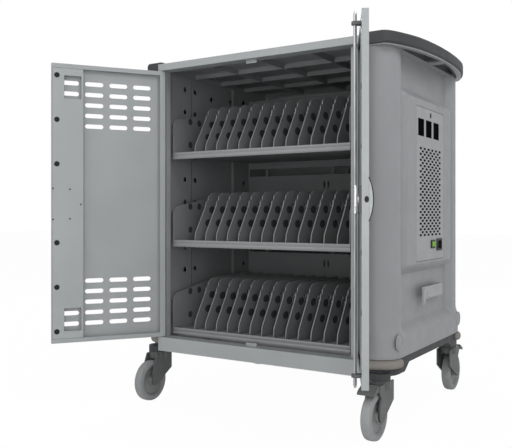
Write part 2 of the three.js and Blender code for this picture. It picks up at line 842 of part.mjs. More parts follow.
// Depths at which a plan curve is sampled: close together round the corners and slopes
function planSamples(grow = 0) {
  const corner = range(6).map((step) =>
    shellFront - grow + (cornerRun + grow) * (1 - Math.cos(step * Math.PI / 10)));
  const slope = [recessFrom, (recessFrom + recessFull) / 2, (plateauFrom + recessFull) / 2,
    (plateauFrom + plateauFull) / 2, plateauFull];
  const front = [...corner, ...slope];
  return [...front, ...front.map((y) => frameDepth - y).reverse()];
}

// A solid on the right side that follows a plan curve at each level in turn
function sideLoft(levels, reachAt, innerX, samples) {
  const outline = [[innerX, samples[0]], ...samples.map((y) => [innerX + 10, y]), [innerX, samples.at(-1)]];
  const steps = levels.length - 1;
  const geometry = new THREE.ExtrudeGeometry(polygon(outline), { depth: steps, steps, bevelEnabled: false });
  const place = geometry.attributes.position;
  for (const index of range(place.count)) {
    const z = levels[Math.round(place.getZ(index))];
    const y = place.getY(index);
    const outer = place.getX(index) > innerX + 5;
    place.setXYZ(index, outer ? Math.max(reachAt(y, z), innerX + 0.5) : innerX, y, z);
  }
  return solid(geometry);
}

// The heights at which the shell's slopes are drawn, from its foot to the plate under the handle
function shellLevels() {
  const shares = [0, 0.5, 1];
  return [
    ...shares.map((share) => bandTop + bandSlope * share),
    ...shares.map((share) => plateauLow + plateauSlope * (share - 0.5)),
    ...shares.map((share) => plateauHigh + plateauSlope * share),
  ];
}

// A round plug in the foot band near each corner, as a ring-shaped groove
function plugGroove(y) {
  const z = railBottomTop + plugRise;
  const face = shellSide + padReach + bandRise;
  const reach = [face - plugRingDepth, face + plugRingDepth];
  return bar('x', y, z, plugRingRadius, ...reach).subtract(bar('x', y, z, plugDiscRadius, ...reach));
}

function sideShell() {
  const base = railBottomTop + seat;
  const rim = shellTop - flangePlate / 2;
  const samples = planSamples();
  const inset = shellFront + shellWall;
  const inner = samples.map((y) => THREE.MathUtils.clamp(y, inset, frameDepth - inset));
  const nearer = (y) => (y < depthMiddle ? y - shellWall : y + shellWall);
  const outside = sideLoft([base, ...shellLevels(), rim],
    (y, z) => shellSide + shellOverhang(y, z), shellSide, samples);
  const cavity = sideLoft([base - 1, ...shellLevels(), rim + 1],
    (y, z) => shellSide + shellOverhang(nearer(y), z) - shellWall, shellSide - 2, [...new Set(inner)]);
  const flange = prism(bowOutline(flangeInset), 'z', shellTop - flangePlate, shellTop);
  const grooves = [plugFromFront, frameDepth - plugFromFront].map(plugGroove);
  return cut(outside.subtract(cavity).add(flange), [...handOpenings(), ...grooves]);
}

// A slot with round ends, longest along its second direction
function stadiumUp(a, b, length, width) {
  const reach = (length - width) / 2;
  const shape = new THREE.Shape();
  shape.absarc(a, b + reach, width / 2, 0, Math.PI, false);
  shape.absarc(a, b - reach, width / 2, Math.PI, closed, false);
  return shape;
}

// The bow handle's plan: a spline out from the front corner to the middle and back to the rear corner
function bowPoints(inset) {
  const bends = [[69, 0], [54, 0.034], [36, 0.16], [14, 0.4], [3, 0.7]];
  const near = bends.map(([back, share]) => new THREE.Vector2(
    shellSide + bowReach - back - inset, THREE.MathUtils.lerp(bowFront, depthMiddle, share) + inset));
  const far = near.map((point) => new THREE.Vector2(point.x, frameDepth - point.y)).reverse();
  const middle = new THREE.Vector2(shellSide + bowReach - inset, depthMiddle);
  return new THREE.SplineCurve([...near, middle, ...far]).getPoints(20);
}

function bowOutline(inset) {
  const start = bowFront + inset;
  return new THREE.Shape([
    new THREE.Vector2(shellSide, start),
    ...bowPoints(inset),
    new THREE.Vector2(shellSide, frameDepth - start),
  ]);
}

// Two lens-shaped hand openings, with a strut between them
function handOpenings() {
  const innerX = shellSide + openingInner;
  const edge = bowPoints(gripWidth).filter((point) => point.x > innerX + 2);
  const front = edge.filter((point) => point.y < depthMiddle - strutWidth / 2);
  const back = edge.filter((point) => point.y > depthMiddle + strutWidth / 2);
  return [front, back].map((points) => prism(new THREE.Shape([
    new THREE.Vector2(innerX, points[0].y), ...points, new THREE.Vector2(innerX, points.at(-1).y),
  ]), 'z', handleLow - 20, handleHigh + 1));
}

function topCover() {
  const bow = bowPoints(0);
  const bowX = (y) => bow.find((point) => Math.abs(point.y - y) < 0.01).x;
  const edge = (z) => (z === handleLow || z === handleHigh ? coverRound : 0);
  const wing = sideLoft([handleLow, handleLow + coverRound, handleHigh - coverRound, handleHigh],
    (y, z) => bowX(y) - edge(z), shellSide, bow.map((point) => point.y));
  const right = cut(wing, handOpenings());
  const plateReach = shellSide + coverLap;
  const ribTop = frameTop - coverSkin + 1;
  const thick = coverRib / 2;
  const side = half - coverRib;
  const ribs = [];
  for (const share of [-1, -0.5, 0, 0.5, 1]) {
    const x = share * side;
    ribs.push(box(x - thick, x + thick, baseFront, baseBack, railTopBottom, ribTop));
    const y = depthMiddle + share * (depthMiddle - baseFront - coverRib);
    ribs.push(box(-side, side, y - thick, y + thick, railTopBottom + 2, ribTop));
  }
  const plate = box(-plateReach, plateReach, baseFront, baseBack, frameTop - coverSkin, frameTop);
  return join([plate, right, right.mirror([1, 0, 0]), ...ribs]);
}

// Right shell: a window and a ledge for the control panel
const ledge = 5;
const ledgeDepth = 3;

const panelBox = (x0, x1, grow) => box(x0, x1, depthMiddle - panelWidth / 2 - grow,
  depthMiddle + panelWidth / 2 + grow, panelBottom - grow, panelTop + grow);

function rightShell(plain) {
  const seatFace = panelFace - panelThickness - seat;
  const ledgeBack = seatFace - ledgeDepth;
  const proud = panelFace + panelThickness;
  return cut(join([plain, panelBox(ledgeBack, panelFace - 1, ledge)]), [
    panelBox(seatFace, proud, seat),
    panelBox(ledgeBack - 1, proud, -ledge),
  ]);
}

const bezelY = depthMiddle + bezelOffset;
const inletY = depthMiddle + inletOffset;
const displayY = (index) => depthMiddle - displayShift + displayPitch * (index - 1);
const rectangle = (a, b, width, height) => polygon([
  [a - width / 2, b - height / 2], [a + width / 2, b - height / 2],
  [a + width / 2, b + height / 2], [a - width / 2, b + height / 2],
]);
const flangeLip = 3;

function perforation() {
  const holes = [];
  for (const row of range(perforationRows * 2 - 1)) {
    const columns = perforationColumns - (row % 2);
    const z = panelBottom + perforationRise + perforationPitchZ * row / 2;
    for (const column of range(columns)) {
      const y = depthMiddle + perforationPitchY * (column - (columns - 1) / 2);
      holes.push(rectangle(y, z, perforationWidth, perforationHeight));
    }
  }
  return holes;
}

function controlPanel() {
  const neck = flangeLip * 2;
  const holes = [
    ...perforation(),
    ...range(3).map((index) =>
      rectangle(displayY(index), displayBottom + displayHeight / 2, displayWidth, displayHeight)),
    stadiumUp(depthMiddle, buttonCentre, buttonHeight, buttonWidth),
    rectangle(bezelY, bezelCentre, bezelWidth - neck, bezelHeight - neck),
    rectangle(inletY, inletCentre, inletWidth - neck, inletHeight - neck),
  ];
  const outline = rectangle(depthMiddle, panelBottom + panelHeight / 2, panelWidth, panelHeight);
  const back = panelFace - panelThickness;
  const cutters = holes.map((hole) => prism(hole, 'x', back - 1, panelFace + 1, 2));
  return cut(prism(outline, 'x', back, panelFace), cutters);
}

function statusDisplay() {
  const back = panelFace - panelThickness - seat;
  const rim = displayWidth / 2 + displayRim;
  const plate = box(back - displayRim, back, displayY(0) - rim, displayY(2) + rim,
    displayBottom - displayRim, buttonCentre + buttonHeight / 2 + 2);
  const windows = range(3).map((index) => prism(rectangle(displayY(index), displayBottom + displayHeight / 2,
    displayWidth - seat * 2, displayHeight - seat * 2), 'x', back - 1, panelFace - 1));
  const button = prism(stadiumUp(depthMiddle, buttonCentre, buttonHeight - seat * 2, buttonWidth - seat * 2),
    'x', back - 1, panelFace + lap, 2);
  return join([plate, ...windows, button]);
}

// A flanged insert: a flange on the panel's face and a neck through its cut-out
function flangedInsert(y, z, width, height, neckDepth) {
  const neck = rectangle(y, z, width - (flangeLip + seat) * 2, height - (flangeLip + seat) * 2);
  return join([
    prism(rectangle(y, z, width, height), 'x', panelFace + seat, panelFace + flangeLip),
    prism(neck, 'x', panelFace - panelThickness - neckDepth, panelFace + flangeLip - lap),
  ]);
}

const rockerWidth = bezelWidth - flangeLip * 4;
const rockerHeight = bezelHeight - flangeLip * 3;

function rockerBezel() {
  const opening = rectangle(bezelY, bezelCentre, rockerWidth + 1.4, rockerHeight + 1.2);
  return flangedInsert(bezelY, bezelCentre, bezelWidth, bezelHeight, 10)
    .subtract(prism(opening, 'x', panelFace - panelThickness - 7, panelFace + 10));
}

// The rocker is drawn about its pivot, with a shallow valley across its face
function powerRocker() {
  const end = rockerWidth / 2;
  const outline = polygon([[-5, -end + 2], [4.5, -end], [2, 0], [4.5, end], [-5, end - 2]]);
  return prism(outline, 'z', -rockerHeight / 2, rockerHeight / 2);
}

function powerInlet() {
  const mouth = inletWidth - flangeLip * 4;
  const rise = inletHeight - flangeLip * 4;
  const top = inletCentre + rise / 2;
  const floor = panelFace - panelThickness - 16;
  const corner = 6;
  const opening = polygon([
    [inletY - mouth / 2, inletCentre - rise / 2], [inletY + mouth / 2, inletCentre - rise / 2],
    [inletY + mouth / 2, top - corner], [inletY + mouth / 2 - corner, top],
    [inletY - mouth / 2 + corner, top], [inletY - mouth / 2, top - corner],
  ]);
  const blades = [[-8, -3], [8, -3], [0, 5]].map(([across, up]) => box(floor - 1, panelFace - 2,
    inletY + across - 1, inletY + across + 1, inletCentre + up - 3, inletCentre + up + 3));
  return join([
    flangedInsert(inletY, inletCentre, inletWidth, inletHeight, 20)
      .subtract(prism(opening, 'x', floor, panelFace + 10)),
    ...blades,
  ]);
}

// The cord hook: a strap that stands off the floor of the recess, with a tab at its free end
function cordHook() {
  const foot = recessFloor + seat;
  const armX = panelFace - hookThickness;
  const fixedEnd = depthMiddle + panelWidth / 2;
  const freeEnd = depthMiddle - panelWidth / 4;
  const footLength = 50;
  const tabWidth = 26;
  const tabDrop = 16;
  const top = hookBottom + hookHeight;
  return join([
    box(foot, foot + hookThickness, fixedEnd - footLength, fixedEnd, hookBottom, top),
    box(foot, armX, fixedEnd - hookThickness, fixedEnd, hookBottom, top),
    box(armX - hookThickness, armX, freeEnd, fixedEnd, hookBottom, top),
    box(armX - hookThickness, armX, freeEnd, freeEnd + tabWidth, hookBottom - tabDrop, hookBottom + 1),
  ]);
}

// Skirts under the side shells, with a boss for each caster stem
const casterSpots = [
  { name: 'front_left', x: -casterFromCentre, y: frontCasterInset, trail: -1 },
  { name: 'front_right', x: casterFromCentre, y: frontCasterInset, trail: -1, brake: true },
  { name: 'rear_left', x: -casterFromCentre, y: frameDepth - rearCasterInset, trail: 1 },
  { name: 'rear_right', x: casterFromCentre, y: frameDepth - rearCasterInset, trail: 1, brake: true },
];

function skirtBody(levels, growAt) {
  const grow = Math.max(...levels.map(growAt));
  const reachAt = (y, z) => shellSide + cornerReach(y, skirtReach, growAt(z));
  return sideLoft(levels, reachAt, shellSide, planSamples(grow));
}

// Between its lobes over the casters, a skirt arches up to a narrow rail
function skirt() {
  const spots = casterSpots.filter((spot) => spot.x > 0);
  const sides = 8;
  const bore = (stemRadius + seat) / Math.cos(Math.PI / sides);
  const bosses = spots.map(({ x, y }) => bar('z', x, y, crownRadius, forkTop + seat, floorClearance + 10));
  const bores = spots.map(({ x, y }) => bar('z', x, y, bore, forkTop - 1, forkTop + stemLength + 1, sides));
  const archTop = floorClearance + skirtArch;
  const lobeTop = skirtLobe + skirtLobeSlope;
  const arch = prism(polygon([
    [skirtLobe, floorClearance - 1], [lobeTop, archTop],
    [frameDepth - lobeTop, archTop], [frameDepth - skirtLobe, floorClearance - 1],
  ]), 'x', shellSide - 1, shellSide + skirtReach + 1);
  return cut(join([skirtBody([floorClearance, railBottomTop], () => 0), ...bosses]), [arch, ...bores]);
}

// A rubber bumper wraps each corner of the skirts, fullest at mid-height and round at its end
function bumper(end) {
  const high = railBottomTop - 1;
  const low = high - bumperHeight;
  const soft = bumperHeight / 4;
  const levels = [low, low + soft, high - soft, high];
  const band = skirtBody(levels, (z) => (z === low || z === high ? bumperEdge : bumperThickness))
    .subtract(skirtBody([low - 1, high + 1], () => seat));
  const tip = bumperHeight / 2;
  const shape = new THREE.Shape();
  shape.moveTo(0, low);
  shape.absarc(bumperRun - tip, low + tip, tip, -Math.PI / 2, Math.PI / 2, false);
  shape.lineTo(0, high);
  const front = prism(shape, 'x', shellSide + bumperEdge, shellSide + skirtReach + bumperThickness + 1, 3);
  return band.intersect(end < 0 ? front : front.mirror([0, 1, 0]).translate([0, frameDepth, 0]));
}

// Casters are drawn about the swivel axis, with the wheel trailing towards -Y
const innerFork = hubWidth / 2 + running;

// The broad blade of a fork: straight behind, tapering down to the hub
function forkOutline() {
  const shape = new THREE.Shape();
  const shoulder = forkTop - 4;
  const waist = wheelRadius * 1.5;
  shape.moveTo(forkBlade, shoulder);
  shape.lineTo(forkBlade, waist);
  shape.lineTo(forkHub - casterTrail, wheelRadius - forkHub / 2);
  shape.absarc(-casterTrail, wheelRadius, forkHub, -Math.PI / 6, -Math.PI, true);
  shape.lineTo(-casterTrail - forkHub, waist);
  shape.lineTo(-crownRadius, shoulder);
  return shape;
}

const pivotY = -casterTrail - pedalAhead;

function forkEars() {
  const outline = polygon([
    [-crownRadius + 6, forkTop - 4], [pivotY - 6, pedalPivotZ + 6],
    [pivotY - 7, pedalPivotZ - 7], [-casterTrail, wheelRadius * 1.7],
  ]);
  return [-1, 1].map((side) => prism(outline, 'x', side * innerFork, side * (innerFork + forkArm)));
}

function casterFork(brake) {
  const outerFork = innerFork + forkArm;
  const arms = [-1, 1].map((side) => prism(forkOutline(), 'x', side * innerFork, side * outerFork, 3));
  const body = join([
    bar('z', 0, 0, crownRadius, forkTop - crownThickness, forkTop, 12),
    bar('z', 0, 0, stemRadius, forkTop - 2, forkTop + stemLength, 8),
    bar('x', -casterTrail, wheelRadius, axleRadius, -innerFork - 1, innerFork + 1, 8),
    ...arms,
    ...(brake ? forkEars() : []),
  ]);
  const pivot = bar('x', pivotY, pedalPivotZ, pedalPivotRadius + running, -outerFork - 1, outerFork + 1, 8);
  return brake ? body.subtract(pivot) : body;
}

// A turned wheel: a hub, a web dished on both faces and a rounded tread, about the X axis
function casterWheel() {
  const bore = axleRadius + running;
  const hubRadius = 15;
  const rim = wheelRadius - 16;
  const web = 7;
  const tread = wheelWidth / 2;
  const face = [
    [bore, hubWidth / 2], [hubRadius, hubWidth / 2], [hubRadius + 2, web], [rim - 3, web],
    [rim, tread], [wheelRadius, tread - 5],
  ];
  const profile = [...face, ...face.map(([radius, x]) => [radius, -x]).reverse(), face[0]].reverse();
  const geometry = new THREE.LatheGeometry(profile.map(([radius, x]) => new THREE.Vector2(radius, x)), 16);
  geometry.rotateZ(-Math.PI / 2);
  return solid(geometry);
}

// The brake pedal turns on a pin through the fork's ears
function brakePedal() {
  const tip = pivotY - pedalLength;
  const paddleBack = pivotY - pedalAhead - running;
  const lever = polygon([
    [pivotY + 6, pedalPivotZ - 5], [pivotY + 5, pedalPivotZ + 6],
    [paddleBack - 1, pedalPivotZ + 9], [paddleBack - 1, pedalPivotZ - 4],
  ]);
  const paddle = polygon([
    [paddleBack, pedalPivotZ + 10], [tip + 6, pedalPivotZ - 2], [tip, pedalPivotZ - 8],
    [tip + 2, pedalPivotZ - 12], [paddleBack, pedalPivotZ - 4],
  ]);
  const inner = innerFork - running;
  return join([
    prism(lever, 'x', -inner, inner),
    prism(paddle, 'x', -pedalWidth / 2, pedalWidth / 2),
    bar('x', pivotY, pedalPivotZ, pedalPivotRadius, -innerFork - forkArm, innerFork + forkArm, 8),
  ]);
}

// Assembly
const cart = new THREE.Group();

function put(name, body, material, parent = cart) {
  parent.add(mesh(name, body, material));
}

function turned(x, y, degrees) {
  const group = new THREE.Group();
  group.position.set(x, y, 0);
  group.rotation.z = rad(degrees);
  cart.add(group);
  return group;
}

function addCabinet() {
  put('front_frame', frontFrame(), steelGrey());
  put('rear_frame', rearFrame(), steelGrey());
  put('base_frame', baseFrame(), darkSteel());
  put('left_wall', innerWall(-1), darkSteel());
  put('right_wall', innerWall(1), darkSteel());
  put('rear_partition', rearPartition(), darkSteel());
  put('top_cover', topCover(), darkMoulding());
  for (const level of range(trayCount)) {
    put(`power_strip_${level + 1}`, powerStrip(level), blackPlastic());
  }
  put('power_controller', powerController(), darkSteel());
  for (const [side, word] of [[-1, 'left'], [1, 'right']]) {
    put(`${word}_hinge_pin_upper`, hingePin(side, true), brightSteel());
    put(`${word}_hinge_pin_lower`, hingePin(side, false), brightSteel());
  }
}

function addSides() {
  const plain = sideShell();
  put('side_shell_left', plain.mirror([1, 0, 0]), shellGrey());
  put('side_shell_right', rightShell(plain), shellGrey());
  put('skirt_right', skirt(), darkMoulding());
  put('skirt_left', skirt().mirror([1, 0, 0]), darkMoulding());
  for (const [end, word] of [[-1, 'front'], [1, 'rear']]) {
    put(`bumper_${word}_right`, bumper(end), paint('#74706c', 0.8));
    put(`bumper_${word}_left`, bumper(end).mirror([1, 0, 0]), paint('#74706c', 0.8));
  }
  put('control_panel', controlPanel(), paint('#919495', 0.5, 0.2));
  put('status_display', statusDisplay(), blackPlastic());
  put('rocker_bezel', rockerBezel(), blackPlastic());
  put('power_inlet', powerInlet(), blackPlastic());
  put('cord_hook', cordHook(), paint('#a2a4a5', 0.5, 0.4));
  const pivot = new THREE.Group();
  pivot.position.set(panelFace + 1, bezelY, bezelCentre);
  pivot.rotation.z = rad(-rockerTilt);
  cart.add(pivot);
  put('power_rocker', powerRocker(), paint('#6f9a10', 0.3), pivot);
}

function addDoors() {
  const left = turned(-hingeX, hingeInset, -leftOpenAngle);
  put('left_door', frontDoor(1), steelGrey(), left);
  put('left_door_stiffener', stiffener(1), steelGrey(), left);
  const right = turned(hingeX, hingeInset, rightOpenAngle);
  put('right_door', frontDoor(-1), steelGrey(), right);
  put('right_door_stiffener', stiffener(-1), steelGrey(), right);
  put('door_pull', doorPull(), paint('#a9acad', 0.4), right);
  put('lock_case', lockCase(), darkSteel(), right);
  put('lock_cam', lockCam(), brightSteel(), right);
  put('upper_rod', lockRod(1), brightSteel(), right);
  put('lower_rod', lockRod(-1), brightSteel(), right);
  put('rod_guide_upper', rodGuide(1), darkSteel(), right);
  put('rod_guide_lower', rodGuide(-1), darkSteel(), right);
  put('rear_door_left', rearDoor(1), steelGrey(), turned(-hingeX, frameDepth - hingeInset, 0));
  put('rear_door_right', rearDoor(-1), steelGrey(), turned(hingeX, frameDepth - hingeInset, 0));
}

function addTrays() {
  for (const level of range(trayCount)) {
    put(`tray_${level + 1}`, tray(level), darkSteel());
    put(`tray_lip_${level + 1}`, trayLip(level), paint('#94979a', 0.5, 0.2));
  }
}

function addCasters() {
  for (const spot of casterSpots) {
    const group = turned(spot.x, spot.y, spot.trail < 0 ? 0 : 180);
    put(`caster_fork_${spot.name}`, casterFork(spot.brake), paint('#5a5c5b', 0.5), group);
    const axle = new THREE.Group();
    axle.position.set(0, -casterTrail, wheelRadius);
    group.add(axle);
    put(`caster_wheel_${spot.name}`, casterWheel(), paint('#7c7e7f', 0.7), axle);
    if (spot.brake) {
      put(`brake_pedal_${spot.name}`, brakePedal(), paint('#5a5c5b', 0.5), group);
    }
  }
}

addCabinet();
addSides();
addDoors();
addTrays();
addCasters();

cart.updateMatrixWorld(true);
const bounds = new THREE.Box3().setFromObject(cart, true);
const centre = bounds.getCenter(new THREE.Vector3());
cart.position.set(-centre.x, -centre.y, -bounds.min.z);
cart.updateMatrixWorld(true);

export default cart;
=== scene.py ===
"""Looks of the laptop charging cart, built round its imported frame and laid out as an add-on."""

import json
import math

import bmesh
import bpy
from mathutils import Matrix, Vector


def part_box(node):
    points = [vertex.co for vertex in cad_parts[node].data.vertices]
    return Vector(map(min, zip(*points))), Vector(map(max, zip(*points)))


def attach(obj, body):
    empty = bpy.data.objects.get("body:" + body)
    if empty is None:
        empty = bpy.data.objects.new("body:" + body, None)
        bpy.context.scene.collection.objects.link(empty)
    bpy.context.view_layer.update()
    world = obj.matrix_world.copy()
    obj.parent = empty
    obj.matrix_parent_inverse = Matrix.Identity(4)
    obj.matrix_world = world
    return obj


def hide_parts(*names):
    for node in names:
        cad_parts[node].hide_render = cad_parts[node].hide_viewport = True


bl_info = {
    "name": "Laptop Charging Cart",
    "version": (1, 0, 0),
    "blender": (4, 5, 0),
    "location": "View3D > Sidebar > Cart",
    "description": "Dresses the packed frame of a laptop charging cart and sets a studio round it",
    "category": "Object",
}

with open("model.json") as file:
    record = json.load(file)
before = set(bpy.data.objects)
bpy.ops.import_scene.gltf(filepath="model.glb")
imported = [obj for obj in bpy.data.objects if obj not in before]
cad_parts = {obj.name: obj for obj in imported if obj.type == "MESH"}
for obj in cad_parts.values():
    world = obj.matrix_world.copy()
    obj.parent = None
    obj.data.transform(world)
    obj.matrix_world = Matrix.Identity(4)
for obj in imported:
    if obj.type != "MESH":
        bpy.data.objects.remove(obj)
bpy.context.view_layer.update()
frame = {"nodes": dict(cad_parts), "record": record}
NODES = frame["nodes"]
MM = 0.001
FRAME_LOW, FRAME_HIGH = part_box("front_frame")
PANEL_LOW, PANEL_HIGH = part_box("control_panel")
# The middle of the frame's front foot, from which depths are measured
ORIGIN = Vector(((FRAME_LOW.x + FRAME_HIGH.x) / 2, FRAME_LOW.y, 0))
# The frame's right side with the small gap that the shells, plugs and bumpers keep from it
SHELL_SIDE = FRAME_HIGH.x + 0.3 * MM
JOINTS = {joint["name"]: joint for joint in frame["record"]["behaviour"]["joints"]}
BODY_OF = {node: body for body, nodes in frame["record"]["behaviour"]["bodies"].items() for node in nodes}
SLOT_OF = {part["node"]: part["material_slot"] for part in frame["record"]["subparts"]}

# Each door's hinge, the hand it opens to, the way its face looks, and its columns and rows of slots
DOORS = {
    "left_door": ("left_door_hinge", 1, 1, 4, 5),
    "right_door": ("right_door_hinge", -1, 1, 4, 5),
    "rear_door_left": ("rear_door_left_hinge", 1, -1, 2, 2),
    "rear_door_right": ("rear_door_right_hinge", -1, -1, 2, 2),
}
CORNERS = ("front_left", "front_right", "rear_left", "rear_right")
WALLS = ("left_wall", "right_wall")
TRAYS = ("tray_1", "tray_2", "tray_3")
DIVIDERS = 13

# Places of small features, in millimetres: depth from the front and height above the floor or a tray's lip
WALL_HOLES = ((281, 986), (398, 993), (473, 996))
DIVIDER_HOLES = ((170, 96), (148, 53))
DIVIDER_BEADS = ((136, 106), (146, 122))
END_HOLES = ((135, 31), (135, 107), (183, 107))
# Rivets on the left door, along from its plugs and up from its middle
STRIKE_RIVETS = ((11, 44), (-38, 42), (-70, -3), (11, -48), (-38, -46))

# Distances within which a CAD copy's and a turned shape's points are merged, or points are on a cutting plane
MERGE = 0.02 * MM
SEAM = 0.01 * MM
ON_PLANE = 1e-6
# Angles below which faces are one flat face, and past which an edge is rounded, shaded sharp or part of a rim
FLAT = math.radians(0.6)
SHARP_TO_ROUND = math.radians(28)
SHARP_TO_SHADE = math.radians(32)
SHARP_RIM = math.radians(57)
QUARTER_TURN = math.pi / 2
# Lays a shape drawn in XY on the cart's right side, so that its X runs along Y and its Y upwards
TO_RIGHT_SIDE = Matrix(((0, 0, 1, 0), (1, 0, 0, 0), (0, 1, 0, 0), (0, 0, 0, 1)))
TO_LEFT_SIDE = Matrix.Translation((2 * ORIGIN.x, 0, 0)) @ Matrix.Scale(-1, 4, (1, 0, 0))


# Colours and materials

def srgb(hex_colour):
    """A linear RGB triple from an sRGB hex colour."""
    channels = [int(hex_colour[i:i + 2], 16) / 255 for i in (1, 3, 5)]
    return [c / 12.92 if c <= 0.04045 else ((c + 0.055) / 1.055) ** 2.4 for c in channels]


# The range of a noise's values over which a tone or a gloss runs from one end to the other
TONE_FROM, TONE_TO = 0.35, 0.65
GLOSS_FROM, GLOSS_TO = 0.3, 0.7
# Blotches of colour are a hand's breadth across, and patches of gloss a quarter of that, in millimetres
BLOTCH, PATCH = 140, 35


def scale_of(size_mm):
    """The scale at which a noise's features are about size_mm across."""
    return 1 / (size_mm * MM)


def add_node(tree, kind, inputs=None, stops=(), **settings):
    """A new node with its settings and colour stops, and each input set to a value or linked from a socket."""
    node = tree.nodes.new(kind)
    for name, value in settings.items():
        setattr(node, name, value)
    for index, (place, colour) in enumerate(stops):
        node.color_ramp.elements[index].position = place
        node.color_ramp.elements[index].color = (*colour, 1)
    for name, value in (inputs or {}).items():
        if isinstance(value, bpy.types.NodeSocket):
            tree.links.new(value, node.inputs[name])
        else:
            node.inputs[name].default_value = value
    return node


def new_material(name):
    """The node tree of a new material, empty but for its object coordinates, and these."""
    material = bpy.data.materials.new(name)
    material.use_nodes = True
    tree = material.node_tree
    tree.nodes.clear()
    return tree, add_node(tree, "ShaderNodeTexCoord").outputs["Object"]


def grained(name, colour, variation, rough, grain_mm, grain_depth_mm, specular):
    """A coated or moulded surface: soft blotches of colour, uneven gloss and a fine raised grain."""
    tree, place = new_material(name)
    base = Vector(colour)
    blotch = add_node(tree, "ShaderNodeTexNoise", {"Vector": place, "Scale": scale_of(BLOTCH), "Detail": 3})
    tone = add_node(tree, "ShaderNodeValToRGB", {"Fac": blotch.outputs["Fac"]},
                    stops=((TONE_FROM, base * (1 - variation)), (TONE_TO, base * (1 + variation))))
    patch = add_node(tree, "ShaderNodeTexNoise", {"Vector": place, "Scale": scale_of(PATCH), "Detail": 2})
    gloss = add_node(tree, "ShaderNodeMapRange", {
        "Value": patch.outputs["Fac"], "From Min": GLOSS_FROM, "From Max": GLOSS_TO,
        "To Min": rough - 0.06, "To Max": rough + 0.06,
    })
    fine = add_node(tree, "ShaderNodeTexNoise", {"Vector": place, "Scale": scale_of(grain_mm), "Detail": 1})
    bump = add_node(tree, "ShaderNodeBump", {
        "Height": fine.outputs["Fac"], "Strength": 0.6, "Distance": grain_depth_mm * MM,
    })
    shader = add_node(tree, "ShaderNodeBsdfPrincipled", {
        "Base Color": tone.outputs["Color"], "Roughness": gloss.outputs["Result"],
        "Normal": bump.outputs["Normal"], "Specular IOR Level": specular,
    })
    add_node(tree, "ShaderNodeOutputMaterial", {"Surface": shader.outputs["BSDF"]})


def brushed(name, colour, rough, streak_mm):
    """Bright plated steel with fine drawn streaks, 25 times as long as they are wide."""
    tree, place = new_material(name)
    base = Vector(colour)
    stretched = add_node(tree, "ShaderNodeMapping", {"Vector": place, "Scale": (1, 1, 0.04)})
    streak = add_node(tree, "ShaderNodeTexNoise", {
        "Vector": stretched.outputs["Vector"], "Scale": scale_of(streak_mm), "Detail": 3,
    })
    tone = add_node(tree, "ShaderNodeValToRGB", {"Fac": streak.outputs["Fac"]},
                    stops=((TONE_FROM, base * 0.8), (TONE_TO, base)))
    gloss = add_node(tree, "ShaderNodeMapRange", {
        "Value": streak.outputs["Fac"], "From Min": GLOSS_FROM, "From Max": GLOSS_TO,
        "To Min": rough - 0.08, "To Max": rough + 0.1,
    })
    shader = add_node(tree, "ShaderNodeBsdfPrincipled", {
        "Base Color": tone.outputs["Color"], "Roughness": gloss.outputs["Result"], "Metallic": 1.0,
    })
    add_node(tree, "ShaderNodeOutputMaterial", {"Surface": shader.outputs["BSDF"]})


def lit_plastic(name, colour, glow):
    """A translucent switch cap with a little light of its own and clouds 6 mm across."""
    tree, place = new_material(name)
    base = Vector(colour)
    cloud = add_node(tree, "ShaderNodeTexNoise", {"Vector": place, "Scale": scale_of(6), "Detail": 2})
    tone = add_node(tree, "ShaderNodeValToRGB", {"Fac": cloud.outputs["Fac"]},
                    stops=((TONE_FROM, base * 0.8), (TONE_TO, base)))
    shader = add_node(tree, "ShaderNodeBsdfPrincipled", {
        "Base Color": tone.outputs["Color"], "Emission Color": tone.outputs["Color"],
        "Emission Strength": glow, "Roughness": 0.25,
    })
    add_node(tree, "ShaderNodeOutputMaterial", {"Surface": shader.outputs["BSDF"]})


# Properties a user would change

def colour_property(label, hex_colour, words):
    """A colour that a user can change, from an sRGB hex value."""
    return bpy.props.FloatVectorProperty(
        name=label, description=words, default=srgb(hex_colour), subtype="COLOR", min=0, max=1)


def length_property(label, millimetres, words):
    """A length that a user can change, from millimetres."""
    return bpy.props.FloatProperty(
        name=label, description=words, default=millimetres * MM, unit="LENGTH", min=0)


class CartFinishes(bpy.types.PropertyGroup):
    """Colours of the cart's finishes."""
    light_steel: colour_property("Light steel", "#878B8C", "Powder coat of the doors and frame")
    panel: colour_property("Panel", "#86888A", "Powder coat of the control panel")
    # Painted light: the stiffeners' and pull's coat is the doors' grey drawn paler, for the light on the door
    # columns
    stiffener: colour_property("Stiffener", "#8B8F90", "Powder coat of the door stiffeners")
    # Painted shade: the inner steel's coat is the outer grey drawn darker, for the shade inside the cabinet
    dark_steel: colour_property("Dark steel", "#727475", "Powder coat of the inner walls and trays")
    lip: colour_property("Tray lip", "#727475", "Extruded lips along the trays")
    shell: colour_property("Side shell", "#7E8082", "Moulded sides")
    dark_moulding: colour_property("Dark moulding", "#3A3B3D", "Top cover, handles and skirts")
    bumper: colour_property("Bumper", "#78746F", "Rubber corner bumpers")
    black: colour_property("Black plastic", "#0C0C0D", "Display, inlet and power strips")
    rocker: colour_property("Rocker", "#5F8C10", "Lit rocker switch")
    zinc: colour_property("Zinc plate", "#A6A8A8", "Lock rods, cam and hinge pins")
    caster: colour_property("Caster", "#4C4E4D", "Nylon forks and pedals")
    tread: colour_property("Tread", "#7C7E7F", "Caster treads")
    wheel: colour_property("Wheel", "#686A6A", "Nylon wheel centres")
    plug: colour_property("Plug", "#161617", "Snap-in plugs in the stiffeners")


